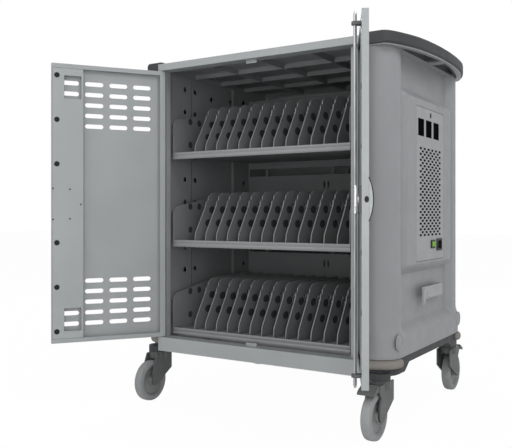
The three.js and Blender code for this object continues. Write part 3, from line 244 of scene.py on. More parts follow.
class CartSizes(bpy.types.PropertyGroup):
    """Sizes of the details that the looks add."""
    edge_round: length_property("Edge round", 0.8, "Rounding of folded and cut edges")
    shell_depth: length_property("Shell depth", 676, "Depth of the frame that the shells cover")
    shell_front: length_property("Shell front", 24, "From the frame's face to the start of a shell")
    corner_run: length_property("Corner run", 62, "Depth over which a shell's corner rounds")
    pad_reach: length_property("Pad reach", 64, "How far a shell's corner pads stand out")
    band_rise: length_property("Band rise", 8, "How far the foot band stands out from the pads")
    band_top: length_property("Band top", 258, "Height of the foot band")
    recess_from: length_property("Recess start", 108, "From a shell's end to the edge of its recess")
    recess_depth: length_property("Recess depth", 20, "Depth of the recess below the pads")
    plateau_rise: length_property("Plateau rise", 25, "Height of the plateau round the panel")
    shell_wall: length_property("Shell wall", 3, "Thickness of a shell's wall")
    band_slope: length_property("Band slope", 30, "Height over which the foot band runs out")
    recess_slope: length_property("Recess slope", 24, "Depth over which the recess sinks in")
    plateau_margin: length_property("Plateau margin", 20, "From the panel to the plateau's foot and head")
    plateau_foot: length_property("Plateau foot", 13, "Half the height over which the plateau's foot rises")
    plateau_head: length_property("Plateau head", 26, "Height over which the plateau's head runs out")
    plateau_from: length_property("Plateau start", 18, "From the recess's edge to the plateau's slope")
    plateau_slope: length_property("Plateau slope", 20, "Depth over which the plateau rises")
    plate_thickness: length_property("Plate thickness", 3.9, "Thickness of the plates under the handles")
    shell_plug_from_end: length_property("Shell plug from end", 77, "From the frame's end to a round plug")
    shell_plug_height: length_property("Shell plug height", 247, "Height of the shells' round plugs")
    slot_length: length_property("Slot length", 55, "Length of a door's vent slots")
    slot_width: length_property("Slot width", 13, "Width of a door's vent slots")
    slot_pitch: length_property("Slot pitch", 73.7, "Distance between columns of slots")
    slot_rise: length_property("Slot rise", 32, "Distance between rows of slots")
    first_slot_along: length_property("First slot along", 63, "From the hinge to the first column of slots")
    first_slot_rise: length_property("First slot rise", 54, "From a door's end to the first row of slots")
    grip_inner: length_property("Grip opening, inner", 65, "From the frame to the openings under a grip")
    grip_outer: length_property("Grip opening, outer", 107, "From the frame to the openings' outer edge")
    grip_radius: length_property("Grip opening radius", 868, "Radius of the openings' outer edge")
    grip_strut: length_property("Grip strut", 36, "Width of the strut between the openings")
    wall_hole: length_property("Wall hole radius", 8, "Radius of the upper holes in the inner walls")
    plug_from_end: length_property("Plug from end", 35, "From a door's end to its first plug")
    plug_pitch: length_property("Plug pitch", 132, "Distance between a stiffener's plugs")
    plug_along: length_property("Plug along", 323, "From the hinge to a stiffener's plugs")
    plug_radius: length_property("Plug radius", 8, "Radius of a snap plug")
    first_divider: length_property("First divider", 64, "From a tray's left end to its first divider")
    divider_pitch: length_property("Divider pitch", 41.6, "Distance between dividers")
    bead_radius: length_property("Bead radius", 4, "Radius of the beads on the dividers")
    cable_hole: length_property("Cable hole", 12, "Half the height of the dividers' holes")
    cable_hole_length: length_property("Cable hole length", 19, "Half the length of the dividers' holes")
    end_hole: length_property("End hole", 9, "Radius of the holes in the trays' end walls")
    # Painted shade: dark discs close the trays' cable holes so that the holes read dark
    shade_disc_rim: length_property("Grommet rim", 1.6, "How far a grommet reaches past its hole")
    shade_disc_thickness: length_property("Grommet thickness", 2.8, "Thickness of a grommet")
    door_middle: length_property("Door middle", 621, "Height of the doors' middle")
    pull_length: length_property("Pull length", 97, "Length of the door pull")
    pull_rise: length_property("Pull rise", 10, "How far the door pull stands out")
    door_face: length_property("Door face", 7.7, "From the hinge line to a stiffener's face")
    skirt_reach: length_property("Skirt reach", 68, "How far the skirts stand out from the frame")
    bumper_thickness: length_property("Bumper thickness", 13, "How far a bumper stands out from the skirt")
    bumper_height: length_property("Bumper height", 24, "Height of a rubber bumper")
    bumper_middle: length_property("Bumper middle", 190, "Height of the bumpers' middle")
    panel_sheet: length_property("Panel sheet", 1.2, "Thickness of the control panel's sheet")
    perforation_foot: length_property("Perforation foot", 74, "From the panel's foot to its lowest slots")
    perforation_rise: length_property("Perforation rise", 16.7, "Height from one full row to the next")
    perforation_pitch: length_property("Perforation pitch", 33.6, "Distance between slots in a row")
    perforation_length: length_property("Perforation length", 20, "Length of a slot")
    perforation_width: length_property("Perforation width", 6.4, "Width of a slot")


# Finishes: each is named for what the real one is, with any light or shade painted into it, and its comment says
# what that gives the eye

FINISH_NAMES = {
    # Electrostatic powder coat on folded steel: an even satin grey with a faint orange peel
    "light_steel": "satin grey powder coat",
    # The same coat with more texture, which takes a little of the shine away
    "panel": "textured grey powder coat",
    # The doors' coat, smoother and painted slightly paler: painted light, which sets the door columns off from
    # the shaded pans
    "stiffener": "grey powder coat with painted light",
    # The same grey coat as outside, painted darker as the shade inside the cabinet, and uneven in tone
    "dark_steel": "dark grey powder coat",
    # Extruded aluminium with a thin coat: the smoothest of the greys, with a soft line of light
    "lip": "grey tray lip extrusion",
    # Moulded plastic: broad even faces with a fine dull grain
    "shell": "grained grey moulding",
    # Spark-grained injection moulding: almost no shine, so that it stays dark at a flat angle
    "dark_moulding": "grained charcoal moulding",
    # Warm grey rubber: dull, with a coarse moulded skin
    "bumper": "brown bumper rubber",
    # Dark windows and housings that show no reflection of the room
    "black": "black polycarbonate",
    # A translucent cap, brightest where the lamp behind it shows through
    "rocker": "lit green switch cap",
    # Bright plated steel: long streaks of light and dark along the rods
    "zinc": "bright zinc plate",
    # Glass-filled nylon: dark, half dull and a little mottled
    "caster": "charcoal nylon",
    # Non-marking rubber: dull and lighter than the forks
    "tread": "grey wheel rubber",
    # Moulded nylon: smoother than the tyre round it
    "wheel": "grey wheel nylon",
    # Small moulded plugs and bezels: near black with a faint soft shine
    "plug": "black snap plug",
}

# Of each grained finish: variation of colour, roughness, grain and its depth in millimetres, and specular level.
# The orange peel of a powder coat is really 1 to 3 mm across. The grain of mouldings, rubber and nylon is really
# about 0.3 mm, too fine to show, and is drawn two to five times as coarse.
GRAINED = {
    "light_steel": (0.03, 0.46, 1.6, 0.05, 0.5),
    "panel": (0.03, 0.5, 1.6, 0.05, 0.5),
    "stiffener": (0.03, 0.44, 1.6, 0.05, 0.5),
    "dark_steel": (0.05, 0.5, 1.6, 0.05, 0.5),
    "lip": (0.04, 0.4, 1.2, 0.03, 0.5),
    "shell": (0.025, 0.52, 0.9, 0.06, 0.5),
    "dark_moulding": (0.05, 0.6, 0.9, 0.08, 0.2),
    "bumper": (0.06, 0.75, 1.4, 0.1, 0.3),
    "black": (0.1, 0.6, 0.7, 0.02, 0.0),
    "caster": (0.06, 0.5, 0.8, 0.06, 0.3),
    "tread": (0.06, 0.7, 1.1, 0.08, 0.5),
    "wheel": (0.05, 0.48, 0.8, 0.04, 0.5),
    "plug": (0.1, 0.5, 0.8, 0.03, 0.2),
}

# The CAD nodes that each finish is put on
FINISH_NODES = {
    "light_steel": ["front_frame", "rear_frame", *DOORS, "cord_hook"],
    "panel": ["control_panel"],
    "stiffener": ["left_door_stiffener", "right_door_stiffener", "door_pull"],
    "dark_steel": ["base_frame", *WALLS, "rear_partition", *TRAYS, "power_controller"],
    "lip": ["tray_lip_1", "tray_lip_2", "tray_lip_3"],
    "shell": ["side_shell_left", "side_shell_right"],
    "dark_moulding": ["top_cover", "skirt_left", "skirt_right"],
    "bumper": ["bumper_" + corner for corner in CORNERS],
    "black": ["power_strip_1", "power_strip_2", "power_strip_3", "status_display"],
    "plug": ["rocker_bezel", "power_inlet"],
    "rocker": ["power_rocker"],
    "zinc": ["left_hinge_pin_upper", "left_hinge_pin_lower", "right_hinge_pin_upper",
             "right_hinge_pin_lower", "lock_cam", "upper_rod", "lower_rod"],
    "caster": ["caster_fork_" + corner for corner in CORNERS] + [
        "brake_pedal_front_right", "brake_pedal_rear_right", "lock_case", "rod_guide_upper", "rod_guide_lower"],
    "tread": ["caster_wheel_" + corner for corner in CORNERS],
}
ROUNDED_FINISHES = ("light_steel", "stiffener", "dark_steel", "dark_moulding", "caster", "lip")


def finish_material(key):
    """The material of a finish."""
    return bpy.data.materials[FINISH_NAMES[key]]


# Shared makers

def piece_from(name, bm, key, body, slot, *replaced):
    """A new piece from a bmesh, smooth across gentle edges, which rides on a body."""
    mesh = bpy.data.meshes.new(name)
    bm.to_mesh(mesh)
    bm.free()
    mesh.shade_smooth()
    mesh.set_sharp_from_angle(angle=SHARP_TO_SHADE)
    mesh.materials.append(finish_material(key))
    piece = bpy.data.objects.new(name, mesh)
    bpy.context.scene.collection.objects.link(piece)
    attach(piece, body)
    if replaced:
        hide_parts(*replaced)
    return piece


def even_shading(piece):
    """Shades flat faces flat right up to their rounded edges."""
    weighted = piece.modifiers.new("even shading", "WEIGHTED_NORMAL")
    weighted.keep_sharp = True


def round_edges(bm, edges, round_size, segments=2, clamp=True):
    """Rounds edges with a bevel."""
    bmesh.ops.bevel(bm, geom=edges, offset=round_size, offset_type="OFFSET", segments=segments, profile=0.5,
                    affect="EDGES", clamp_overlap=clamp, material=-1)


def sharp_edges(bm, angle):
    """The edges between two faces that meet at more than an angle."""
    return [e for e in bm.edges if len(e.link_faces) == 2 and e.calc_face_angle(0) > angle]


def rounded_copy(node, key, round_size, mesh=None):
    """A piece that stands for a CAD node, with its facets merged and its sharp edges rounded."""
    bm = bmesh.new()
    bm.from_mesh(mesh or NODES[node].data)
    bmesh.ops.remove_doubles(bm, verts=bm.verts, dist=MERGE)
    bmesh.ops.dissolve_limit(bm, angle_limit=FLAT, verts=bm.verts, edges=bm.edges)
    round_edges(bm, sharp_edges(bm, SHARP_TO_ROUND), round_size)
    even_shading(piece_from(node + "_rounded", bm, key, BODY_OF[node], SLOT_OF[node], node))


def door_place(joint_name):
    """The turn and place of an open door about its hinge, with the closed door along X."""
    joint = JOINTS[joint_name]
    opened = -math.radians(joint["range_deg"][0])
    x, y, z = joint["pos_m"]
    return Matrix.Translation((x, y, 0)) @ Matrix.Rotation(opened, 4, Vector(joint["axis"]))


def along_x(middle, stretch=1):
    """Lays a shape made along Z along X at a place, stretched along Y."""
    longer = Matrix.Scale(stretch, 4, (0, 1, 0))
    return Matrix.Translation(middle) @ longer @ Matrix.Rotation(QUARTER_TURN, 4, "Y")


def mirrored(bm, over):
    """Moves a shape by a mirroring matrix and turns its faces outwards again."""
    bmesh.ops.transform(bm, matrix=over, verts=bm.verts)
    bmesh.ops.reverse_faces(bm, faces=bm.faces)


def sliced(bm, point, normal, clear_behind=False):
    """Cuts a shape along a plane, and clears what lies behind it if asked."""
    geom = bm.verts[:] + bm.edges[:] + bm.faces[:]
    return bmesh.ops.bisect_plane(bm, geom=geom, plane_co=point, plane_no=normal, clear_inner=clear_behind,
                                  dist=ON_PLANE)


def raise_faces(bm, thickness):
    """Gives flat faces a thickness, towards +Z."""
    made = bmesh.ops.extrude_face_region(bm, geom=bm.faces[:])
    raised = [v for v in made["geom"] if isinstance(v, bmesh.types.BMVert)]
    bmesh.ops.translate(bm, vec=(0, 0, thickness), verts=raised)
    bmesh.ops.recalc_face_normals(bm, faces=bm.faces)


def thick_skin(bm, thickness):
    """Turns a right-hand skin's faces outwards and gives it its thickness."""
    bmesh.ops.recalc_face_normals(bm, faces=bm.faces)
    if sum(face.normal.x for face in bm.faces) < 0:
        bmesh.ops.reverse_faces(bm, faces=bm.faces)
    bmesh.ops.solidify(bm, geom=bm.faces, thickness=thickness)


def rectangle_loop(bm, x, y, width, height):
    """An open rectangle of edges in the XY plane."""
    turned = Matrix.Rotation(QUARTER_TURN / 2, 4, "Z")
    made = bmesh.ops.create_circle(bm, cap_ends=False, segments=4, radius=math.sqrt(0.5), matrix=turned)
    bmesh.ops.scale(bm, vec=(width, height, 1), verts=made["verts"])
    bmesh.ops.translate(bm, vec=(x, y, 0), verts=made["verts"])


def obround_loop(bm, x, y, length, width, segments=16):
    """An open slot of edges with round ends, along X."""
    turned = Matrix.Rotation(math.pi / segments, 4, "Z")
    made = bmesh.ops.create_circle(bm, cap_ends=False, segments=segments, radius=width / 2, matrix=turned)
    for end in (-1, 1):
        half = [v for v in made["verts"] if v.co.x * end > 0]
        bmesh.ops.translate(bm, vec=(end * (length - width) / 2, 0, 0), verts=half)
    bmesh.ops.translate(bm, vec=(x, y, 0), verts=made["verts"])


def fill_sheet(bm, thickness):
    """Fills between the loops of edges and gives the sheet its thickness, towards +Z."""
    bmesh.ops.triangle_fill(bm, use_beauty=True, use_dissolve=False, edges=bm.edges)
    raise_faces(bm, thickness)


def millimetres(profile):
    """A profile in metres from one in millimetres."""
    return [(radius * MM, height * MM) for radius, height in profile]


def turned_shape(bm, profile, steps):
    """Spins a profile of (radius, height) points about Z into a closed shape."""
    first, last = profile[0], profile[-1]
    closing = (0, last[1]) if first[0] == 0 else first
    ring = [bm.verts.new((radius, 0, height)) for radius, height in [*profile, closing]]
    edges = [bm.edges.new(pair) for pair in zip(ring, ring[1:])]
    bmesh.ops.spin(bm, geom=ring + edges, cent=(0, 0, 0), axis=(0, 0, 1), angle=2 * math.pi, steps=steps,
                   use_merge=True, use_duplicate=False)
    bmesh.ops.remove_doubles(bm, verts=bm.verts, dist=SEAM)
    bmesh.ops.recalc_face_normals(bm, faces=bm.faces)


def add_turned(bm, profile, steps, place):
    """Adds a turned shape at a place to a bmesh."""
    shape = bmesh.new()
    turned_shape(shape, profile, steps)
    bmesh.ops.transform(shape, matrix=place, verts=shape.verts)
    add_shape(bm, shape)


def add_shape(bm, other):
    """Adds a shape to a bmesh and frees it."""
    mesh = bpy.data.meshes.new("shape")
    other.to_mesh(mesh)
    other.free()
    bm.from_mesh(mesh)
    bpy.data.meshes.remove(mesh)


def drilled(mesh, bm):
    """A copy of a mesh with the shapes of a bmesh cut out of it."""
    drills = bpy.data.meshes.new("drills")
    bm.to_mesh(drills)
    bm.free()
    drill = bpy.data.objects.new("drill", drills)
    work = bpy.data.objects.new("work", mesh.copy())
    for item in (drill, work):
        bpy.context.scene.collection.objects.link(item)
    holes = work.modifiers.new("holes", "BOOLEAN")
    holes.object = drill
    holes.operation = "DIFFERENCE"
    holes.solver = "EXACT"
    cut = bpy.data.meshes.new_from_object(work.evaluated_get(bpy.context.evaluated_depsgraph_get()))
    for item in (drill, work):
        bpy.data.objects.remove(item)
    return cut


def add_drill(bm, middle, radius, length, segments, stretch=1):
    """A drill along X, round or stretched along Y."""
    bmesh.ops.create_cone(bm, cap_ends=True, segments=segments, radius1=radius, radius2=radius, depth=length,
                          matrix=along_x(middle, stretch))


# Finishes and plain pieces

class CART_OT_finishes(bpy.types.Operator):
    """Makes the finishes and gives each CAD node its own"""
    bl_idname = "cart.finishes"
    bl_label = "Finishes"

    def execute(self, context):
        look = context.scene.cart_finishes
        for key, (variation, rough, grain_mm, depth_mm, specular) in GRAINED.items():
            grained(FINISH_NAMES[key], getattr(look, key), variation, rough, grain_mm, depth_mm, specular)
        lit_plastic(FINISH_NAMES["rocker"], look.rocker, 0.2)
        # Streaks of drawn wire are really about 0.2 mm wide, and are drawn coarser so that they show
        brushed(FINISH_NAMES["zinc"], look.zinc, 0.42, 1.5)
        for key, nodes in FINISH_NODES.items():
            for node in nodes:
                NODES[node].data.materials.clear()
                NODES[node].data.materials.append(finish_material(key))
        return {"FINISHED"}


class CART_OT_rounded(bpy.types.Operator):
    """Rounds the edges of the folded, cut and moulded pieces"""
    bl_idname = "cart.rounded"
    bl_label = "Rounded pieces"

    def execute(self, context):
        size = context.scene.cart_sizes
        for key in ROUNDED_FINISHES:
            for node in FINISH_NODES[key]:
                if node not in TRAYS and node not in DOORS:
                    mesh = holed_wall(size, node) if node in WALLS else None
                    rounded_copy(node, key, size.edge_round, mesh)
        paint_light_on_ceiling(bpy.data.objects["top_cover_rounded"])
        return {"FINISHED"}


def holed_wall(size, node):
    """A copy of an inner wall with three more round holes near its top."""
    low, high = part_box(node)
    through = high.x - low.x + 4 * MM
    bm = bmesh.new()
    for depth, height in WALL_HOLES:
        middle = Vector(((low.x + high.x) / 2, ORIGIN.y + depth * MM, height * MM))
        add_drill(bm, middle, size.wall_hole, through, segments=24)
    return drilled(NODES[node].data, bm)


def paint_light_on_ceiling(cover):
    """Gives the ribbed ceiling inside the frame the lighter finish of the inner walls: painted light on the dark
    top cover.
    """
    cover.data.materials.append(finish_material("dark_steel"))
    for face in cover.data.polygons:
        inside = FRAME_LOW.x < face.center.x < FRAME_HIGH.x and face.center.z < FRAME_HIGH.z - MM
        # Painted light: the sideways and downward faces take the lighter grey, so that the shaded ceiling reads
        # brighter
        if inside and face.normal.z < 0.5:
            face.material_index = 1


# Control panel

PERFORATED_COLUMNS = 6
PERFORATED_ROWS = 16
# The display's windows and the rim below them, in millimetres
WINDOW_WIDTH, WINDOW_HEIGHT, WINDOW_PITCH, WINDOW_RIM = 52, 50, 66, 6
# The dark sheet's width, height and thickness, and its place behind the panel's face and below its middle:
# painted shade seen through the perforations
SHADE_SHEET_WIDTH, SHADE_SHEET_HEIGHT, SHADE_SHEET_THICKNESS, SHADE_SHEET_BEHIND, SHADE_SHEET_BELOW = 190, 270, 0.8, 3, 22


class CART_OT_control_panel(bpy.types.Operator):
    """Makes the perforated plate of the control panel and the dark sheet behind it, painted shade seen through
    the perforations
    """
    bl_idname = "cart.control_panel"
    bl_label = "Control panel"

    def execute(self, context):
        size = context.scene.cart_sizes
        low, high = PANEL_LOW, PANEL_HIGH
        bm = bmesh.new()
        middle = (low + high) / 2
        rectangle_loop(bm, middle.y, middle.z, high.y - low.y, high.z - low.z)
        perforation_loops(bm, size, middle.y, low.z)
        insert_loops(bm, size)
        fill_sheet(bm, size.panel_sheet)
        front = size.panel_sheet / 2
        rims = [e for e in sharp_edges(bm, SHARP_RIM) if all(v.co.z > front for v in e.verts)]
        round_edges(bm, rims, size.panel_sheet * 0.3)
        place = Matrix.Translation((high.x - size.panel_sheet, 0, 0)) @ TO_RIGHT_SIDE
        bmesh.ops.transform(bm, matrix=place, verts=bm.verts)
        body, slot = BODY_OF["control_panel"], SLOT_OF["control_panel"]
        even_shading(piece_from("perforated_panel", bm, "panel", body, slot, "control_panel"))
        shade_sheet_behind_panel(middle, high)
        return {"FINISHED"}


def perforation_loops(bm, size, middle_y, foot_z):
    """Staggered rows of small slots with round ends."""
    for row in range(2 * PERFORATED_ROWS - 1):
        count = PERFORATED_COLUMNS - row % 2
        z = foot_z + size.perforation_foot + size.perforation_rise * row / 2
        for column in range(count):
            y = middle_y + size.perforation_pitch * (column - (count - 1) / 2)
            obround_loop(bm, y, z, size.perforation_length, size.perforation_width, segments=12)


def insert_loops(bm, size):
    """Cut-outs for the display's windows, the rocker and the inlet."""
    display_low, display_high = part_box("status_display")
    z = display_low.z + (WINDOW_RIM + WINDOW_HEIGHT / 2) * MM
    for index in (-1, 0, 1):
        y = (display_low.y + display_high.y) / 2 + index * WINDOW_PITCH * MM
        rectangle_loop(bm, y, z, WINDOW_WIDTH * MM, WINDOW_HEIGHT * MM)
    overlap = 8 * size.edge_round
    for node in ("rocker_bezel", "power_inlet"):
        low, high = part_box(node)
        middle = (low + high) / 2
        rectangle_loop(bm, middle.y, middle.z, high.y - low.y - overlap, high.z - low.z - overlap)


def shade_sheet_behind_panel(middle, high):
    """A thin dark sheet close behind the perforations: painted shade for the dark inside of the wall."""
    bm = bmesh.new()
    bmesh.ops.create_grid(bm, x_segments=1, y_segments=1, size=0.5)
    bmesh.ops.scale(bm, vec=(SHADE_SHEET_WIDTH * MM, SHADE_SHEET_HEIGHT * MM, 1), verts=bm.verts)
    bmesh.ops.solidify(bm, geom=bm.faces, thickness=SHADE_SHEET_THICKNESS * MM)
    place = (high.x - SHADE_SHEET_BEHIND * MM, middle.y, middle.z - SHADE_SHEET_BELOW * MM)
    bmesh.ops.transform(bm, matrix=Matrix.Translation(place) @ TO_RIGHT_SIDE, verts=bm.verts)
    piece_from("panel_shade_sheet", bm, "black", BODY_OF["control_panel"], SLOT_OF["status_display"])


# Moulded side shells

# Faces of a shell's grid along its depth and up its height
SHELL_COLUMNS, SHELL_ROWS = 120, 92
# The gap round the control panel, and the gap under the top cover
PANEL_GAP, COVER_GAP = 1.1 * MM, 2 * MM
# Half the height of the cutter for the openings under the grips
GRIP_CUTTER = 10 * MM
SHELL_PLUG = millimetres([(0, 1.6), (11, 1.5), (14, 1.1), (15, 0.2), (20, 0.2), (20.6, 1.1), (22, 1.1),
                          (23, -0.6)])


class CART_OT_shells(bpy.types.Operator):
    """Makes both moulded side shells, the plates under the handles and the round plugs"""
    bl_idname = "cart.shells"
    bl_label = "Side shells"

    def execute(self, context):
        size = context.scene.cart_sizes
        for side in ("left", "right"):
            node = "side_shell_" + side
            body, slot = BODY_OF[node], SLOT_OF[node]
            bm = shell_skin(size)
            if side == "right":
                cut_panel_window(bm)
            thick_skin(bm, size.shell_wall)
            if side == "left":
                mirrored(bm, TO_LEFT_SIDE)
            piece_from("moulded_" + node, bm, "shell", body, slot, node)
            even_shading(piece_from("handle_plate_" + side, handle_plate(size, node), "shell", body, slot))
            shell_plugs(size, side, body, slot)
        return {"FINISHED"}


def eased(low, high, value):
    """0 below low, 1 above high and a smooth rise between."""
    share = min(max((value - low) / (high - low), 0), 1)
    return share * share * (3 - 2 * share)


def shell_reach(size, y, z):
    """How far the shell stands out from the frame's side at a depth y and a height z."""
    inward = min(y, size.shell_depth - y)
    above_band = eased(size.band_top, size.band_top + size.band_slope, z)
    pad = size.pad_reach + size.band_rise * (1 - above_band)
    run = min(max((inward - size.shell_front) / size.corner_run, 0), 1)
    corner = pad * math.sqrt(1 - (1 - run) ** 2)
    sunk = eased(size.recess_from, size.recess_from + size.recess_slope, inward) * above_band
    foot = PANEL_LOW.z - size.plateau_margin
    head = PANEL_HIGH.z + size.plateau_margin
    below_head = 1 - eased(head, head + size.plateau_head, z)
    tall = eased(foot - size.plateau_foot, foot + size.plateau_foot, z) * below_head
    edge = size.recess_from + size.plateau_from
    wide = eased(edge, edge + size.plateau_slope, inward)
    return corner - size.recess_depth * sunk + size.plateau_rise * wide * tall


def corner_share(size, along):
    """Where a share of the grid lies along the shell's depth, with a quarter of it in each corner."""
    front = size.shell_front / size.shell_depth
    corner = size.corner_run / size.shell_depth
    near = min(along, 1 - along)
    if near < 0.25:
        place = front + corner * (1 - math.cos(near * 2 * math.pi))
    else:
        place = front + corner + (near - 0.25) * 4 * (0.5 - front - corner)
    return place if along < 0.5 else 1 - place


def shell_skin(size):
    """The right-hand shell's outer skin as a grid, closest round its corners."""
    bm = bmesh.new()
    bmesh.ops.create_grid(bm, x_segments=SHELL_COLUMNS, y_segments=SHELL_ROWS, size=0.5)
    low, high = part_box("side_shell_right")
    for vert in bm.verts:
        y = size.shell_depth * corner_share(size, vert.co.x + 0.5)
        z = low.z + (high.z - COVER_GAP - low.z) * (vert.co.y + 0.5)
        vert.co = (SHELL_SIDE + shell_reach(size, y, z), ORIGIN.y + y, z)
    return bm


def cut_panel_window(bm):
    """Opens the shell where the control panel sits."""
    low, high = PANEL_LOW, PANEL_HIGH
    for normal, near, far in (((0, 1, 0), low.y, high.y), ((0, 0, 1), low.z, high.z)):
        for place in (near - PANEL_GAP, far + PANEL_GAP):
            sliced(bm, Vector(normal) * place, normal)
    inside = []
    for face in bm.faces:
        middle = face.calc_center_median()
        if low.y < middle.y < high.y and low.z < middle.z < high.z:
            inside.append(face)
    bmesh.ops.delete(bm, geom=inside, context="FACES")


def handle_plate(size, node):
    """The plate under a bow handle, cut from the top of its shell, with wide openings."""
    low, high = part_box(node)
    bm = bmesh.new()
    bm.from_mesh(NODES[node].data)
    bmesh.ops.remove_doubles(bm, verts=bm.verts, dist=MERGE)
    made = sliced(bm, (0, 0, high.z - size.plate_thickness), (0, 0, 1), clear_behind=True)
    rim = [e for e in made["geom_cut"] if isinstance(e, bmesh.types.BMEdge)]
    bmesh.ops.triangle_fill(bm, use_beauty=True, edges=rim)
    bmesh.ops.recalc_face_normals(bm, faces=bm.faces)
    plate = bpy.data.meshes.new("plate")
    bm.to_mesh(plate)
    bm.clear()
    openings = grip_openings(size, high.z)
    if node.endswith("left"):
        mirrored(openings, TO_LEFT_SIDE)
    bm.from_mesh(drilled(plate, openings))
    bmesh.ops.dissolve_limit(bm, angle_limit=FLAT, verts=bm.verts, edges=bm.edges)
    return bm


def grip_openings(size, top):
    """The two wide openings under the right-hand grip: slices of a great disc, either side of a strut."""
    bm = bmesh.new()
    inner = FRAME_HIGH.x + size.grip_inner
    centre = FRAME_HIGH.x + size.grip_outer - size.grip_radius
    middle = ORIGIN.y + size.shell_depth / 2
    for end in (-1, 1):
        opening = bmesh.new()
        place = Matrix.Translation((centre, middle, top - GRIP_CUTTER))
        bmesh.ops.create_circle(opening, cap_ends=True, segments=360, radius=size.grip_radius, matrix=place)
        sliced(opening, (inner, 0, 0), (1, 0, 0), clear_behind=True)
        sliced(opening, (0, middle + end * size.grip_strut / 2, 0), (0, end, 0), clear_behind=True)
        raise_faces(opening, 2 * GRIP_CUTTER)
        add_shape(bm, opening)
    return bm


def shell_plugs(size, side, body, slot):
    """A round cover with a ring groove, near each end of the foot band."""
    face = SHELL_SIDE + size.pad_reach + size.band_rise
    for end in ("front", "rear"):
        bm = bmesh.new()
        turned_shape(bm, SHELL_PLUG, steps=48)
        depth = size.shell_plug_from_end if end == "front" else size.shell_depth - size.shell_plug_from_end
        place = Matrix.Translation((face, ORIGIN.y + depth, size.shell_plug_height)) @ TO_RIGHT_SIDE
        bmesh.ops.transform(bm, matrix=place, verts=bm.verts)
        if side == "left":
            mirrored(bm, TO_LEFT_SIDE)
        piece_from(f"shell_plug_{end}_{side}", bm, "shell", body, slot)


# Bumpers

# Faces of a bumper's grid along it and round its section
BUMPER_COLUMNS, BUMPER_ROWS = 40, 12
# The share of a bumper that wraps the corner, before its straight end closes
BUMPER_WRAP = 0.8
# Where the wrap starts, in degrees from the front
BUMPER_START = 6
# How square the section is, from 1 for half-round downwards
BUMPER_SQUARE = 0.6
BUMPER_END, BUMPER_SEAT, BUMPER_WALL = 12 * MM, 0.4 * MM, 1.5 * MM


class CART_OT_bumpers(bpy.types.Operator):
    """Wraps a half-round rubber bumper round each corner of the skirts"""
    bl_idname = "cart.bumpers"
    bl_label = "Bumpers"

    def execute(self, context):
        size = context.scene.cart_sizes
        to_rear = Matrix.Translation((0, 2 * ORIGIN.y + size.shell_depth, 0)) @ Matrix.Scale(-1, 4, (0, 1, 0))
        for corner in CORNERS:
            node = "bumper_" + corner
            bm = bumper_skin(size)
            if corner.startswith("rear"):
                mirrored(bm, to_rear)
            if corner.endswith("left"):
                mirrored(bm, TO_LEFT_SIDE)
            piece_from("rubber_" + node, bm, "bumper", BODY_OF[node], SLOT_OF[node], node)
        return {"FINISHED"}


def bumper_skin(size):
    """The front right bumper: a grid bent to a half-round section and wrapped round the corner."""
    bm = bmesh.new()
    bmesh.ops.create_grid(bm, x_segments=BUMPER_COLUMNS, y_segments=BUMPER_ROWS, size=0.5)
    for vert in bm.verts:
        along = vert.co.x + 0.5
        round_angle = vert.co.y * math.pi
        past = max(along - BUMPER_WRAP, 0) / (1 - BUMPER_WRAP)
        shrink = math.sqrt(max(1 - past * past, 0))
        swell = math.cos(round_angle) ** BUMPER_SQUARE * shrink
        grow = BUMPER_SEAT + (size.bumper_thickness - BUMPER_SEAT) * swell
        z = size.bumper_middle + size.bumper_height / 2 * math.sin(round_angle) * shrink
        turn = math.radians(BUMPER_START + (90 - BUMPER_START) * min(along / BUMPER_WRAP, 1))
        x = SHELL_SIDE + (size.skirt_reach + grow) * math.sin(turn)
        wrap = (size.corner_run + grow) * (1 - math.cos(turn))
        y = size.shell_front - grow + wrap + BUMPER_END * past
        vert.co = (x, ORIGIN.y + y, z)
    bmesh.ops.remove_doubles(bm, verts=bm.verts, dist=SEAM)
    thick_skin(bm, BUMPER_WALL)
    return bm


# Doors and their fittings

# The slots' cutter goes through the sheet with a little to spare, and clears the ends of the CAD slots
SLOT_CUTTER, SLOT_SPARE = 6 * MM, 0.4 * MM
# From the hinge line to the middle of the cutter, towards the door's face
SLOT_DEPTH = 7 * MM
SNAP_PLUGS = 6
RIVET = millimetres([(0, 0.8), (1.6, 0.6), (2.6, 0)])
KEY_COVER = millimetres([(0, 0.5), (2.6, 0.5), (3, 1.2), (4.4, 1.2), (4.8, 0)])
# The key cover's place on the right door, along from the hinge line and out from it
KEY_PLACE = (-338 * MM, -3 * MM)
# The painted shadow strip's ends along the door, and its foot and crest about the pull's edge, in millimetres
SHADOW_STRIP_FROM, SHADOW_STRIP_TO, SHADOW_STRIP_FOOT, SHADOW_STRIP_CREST = -296, -338.3, -1.8, 0.35
# From the hinge line to the face that the pull stands on
PULL_FACE = 8.3 * MM


class CART_OT_doors(bpy.types.Operator):
    """Gives the four doors rounded folds and vent slots with round ends"""
    bl_idname = "cart.doors"
    bl_label = "Doors"

    def execute(self, context):
        size = context.scene.cart_sizes
        low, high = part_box("left_door")
        upright = Matrix.Rotation(QUARTER_TURN, 4, "X")
        for node, (joint, hand, facing, columns, rows) in DOORS.items():
            bm = bmesh.new()
            for column in range(columns):
                x = hand * (size.first_slot_along + size.slot_pitch * column)
                for row in range(rows):
                    rise = size.first_slot_rise + size.slot_rise * row
                    for z in (low.z + rise, high.z - rise):
                        obround_loop(bm, x, z, size.slot_length + SLOT_SPARE, size.slot_width)
            fill_sheet(bm, SLOT_CUTTER)
            through = Matrix.Translation((0, SLOT_CUTTER / 2 - SLOT_DEPTH * facing, 0))
            bmesh.ops.transform(bm, matrix=door_place(joint) @ through @ upright, verts=bm.verts)
            rounded_copy(node, "light_steel", size.edge_round, drilled(NODES[node].data, bm))
        return {"FINISHED"}


